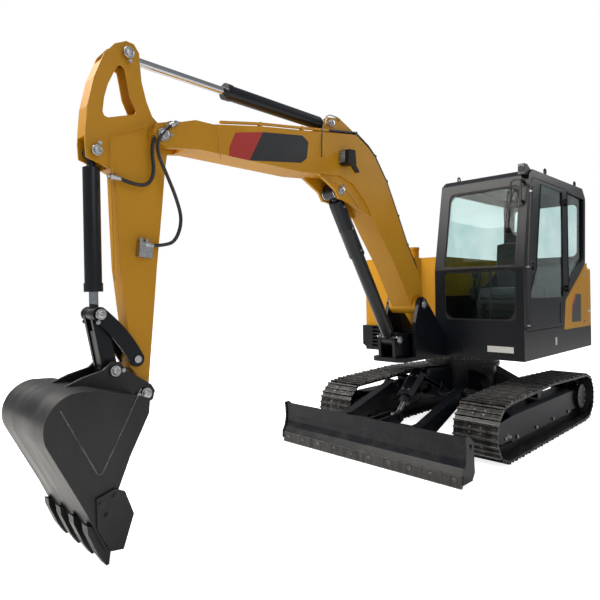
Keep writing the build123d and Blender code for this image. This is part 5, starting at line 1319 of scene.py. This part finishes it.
def cushion(name, low, high, up_axis, crown, lines):
    """A stuffed cushion between two corners, in millimetres, with sewn lines across it."""
    bm = bmesh.new()
    bmesh.ops.create_cube(bm, size=2.0)
    bmesh.ops.subdivide_edges(bm, edges=bm.edges, cuts=40, use_grid_fill=True)
    low_v, high_v = at(*low), at(*high)
    middle, half = (low_v + high_v) / 2, (high_v - low_v) / 2
    along_axis = 2 if up_axis == 1 else 1
    front = 1 if up_axis == 2 else -1
    for v in bm.verts:
        p = v.co.copy()
        ball = p.normalized() * max(abs(p.x), abs(p.y), abs(p.z))
        flat = [math.copysign(abs(c) ** 0.9, c) for c in p]
        soft = Vector([0.72 * f + 0.28 * b for f, b in zip(flat, ball)])
        edge = math.prod(max(0.0, 1 - soft[i] ** 4) for i in range(3) if i != up_axis)
        across = soft[2 if up_axis == 1 else 0]
        along = soft[along_axis]
        stitch = sum(math.exp(-((along - line) / 0.035) ** 2) for line in lines)
        stitch += sum(math.exp(-((across - line) / 0.03) ** 2) for line in SIDE_LINES)
        dip = 0.1 * math.exp(-((across / 0.5) ** 2 + ((along - 0.1) / 0.6) ** 2))
        scale = 1.0 + crown * edge - 0.07 * min(1.0, stitch) * edge
        if soft[up_axis] * front > 0:
            scale -= dip
        soft[up_axis] *= scale / (1.0 + crown)
        v.co = middle + Vector(s * h for s, h in zip(soft, half))
    obj = solid(name, bm, "seat_fabric", "upper")
    return obj


seat_pan = cushion("seat_cushion", (228, -66, 1395), (698, 408, 1512), 2, 0.22, (-0.35, 0.25, 0.75))
seat_back = cushion("seat_back", (236, 352, 1480), (690, 470, 2020), 1, 0.22, (-0.5, -0.1, 0.35))
headrest = cushion("headrest", (340, 372, 2010), (586, 462, 2128), 1, 0.15, (0.0,))
print("cushion faces", sum(len(o.data.polygons) for o in (seat_pan, seat_back, headrest)))

# %% [markdown]
# The cushions stand on a box with a bellows, a plate, and two bars that carry the back.

# %% Seat base
bm = bmesh.new()
block(bm, (270, 0, 1069), (656, 384, 1110))
for level in range(6):
    inset = 34 if level % 2 else 14
    block(bm, (270 + inset, inset, 1110 + 38 * level), (656 - inset, 384 - inset, 1148 + 38 * level))
block(bm, (250, -30, 1338), (676, 400, 1378))
for x in (300, 596):
    block(bm, (x, 372, 1378), (x + 30, 408, 1560))
seat_base = solid("seat_base", bm, "black_plastic", "upper", False, 5.0)
for piece in (seat_base, seat_pan, seat_back, headrest):
    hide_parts("operator_seat")
print("seat base faces", len(seat_base.data.polygons))
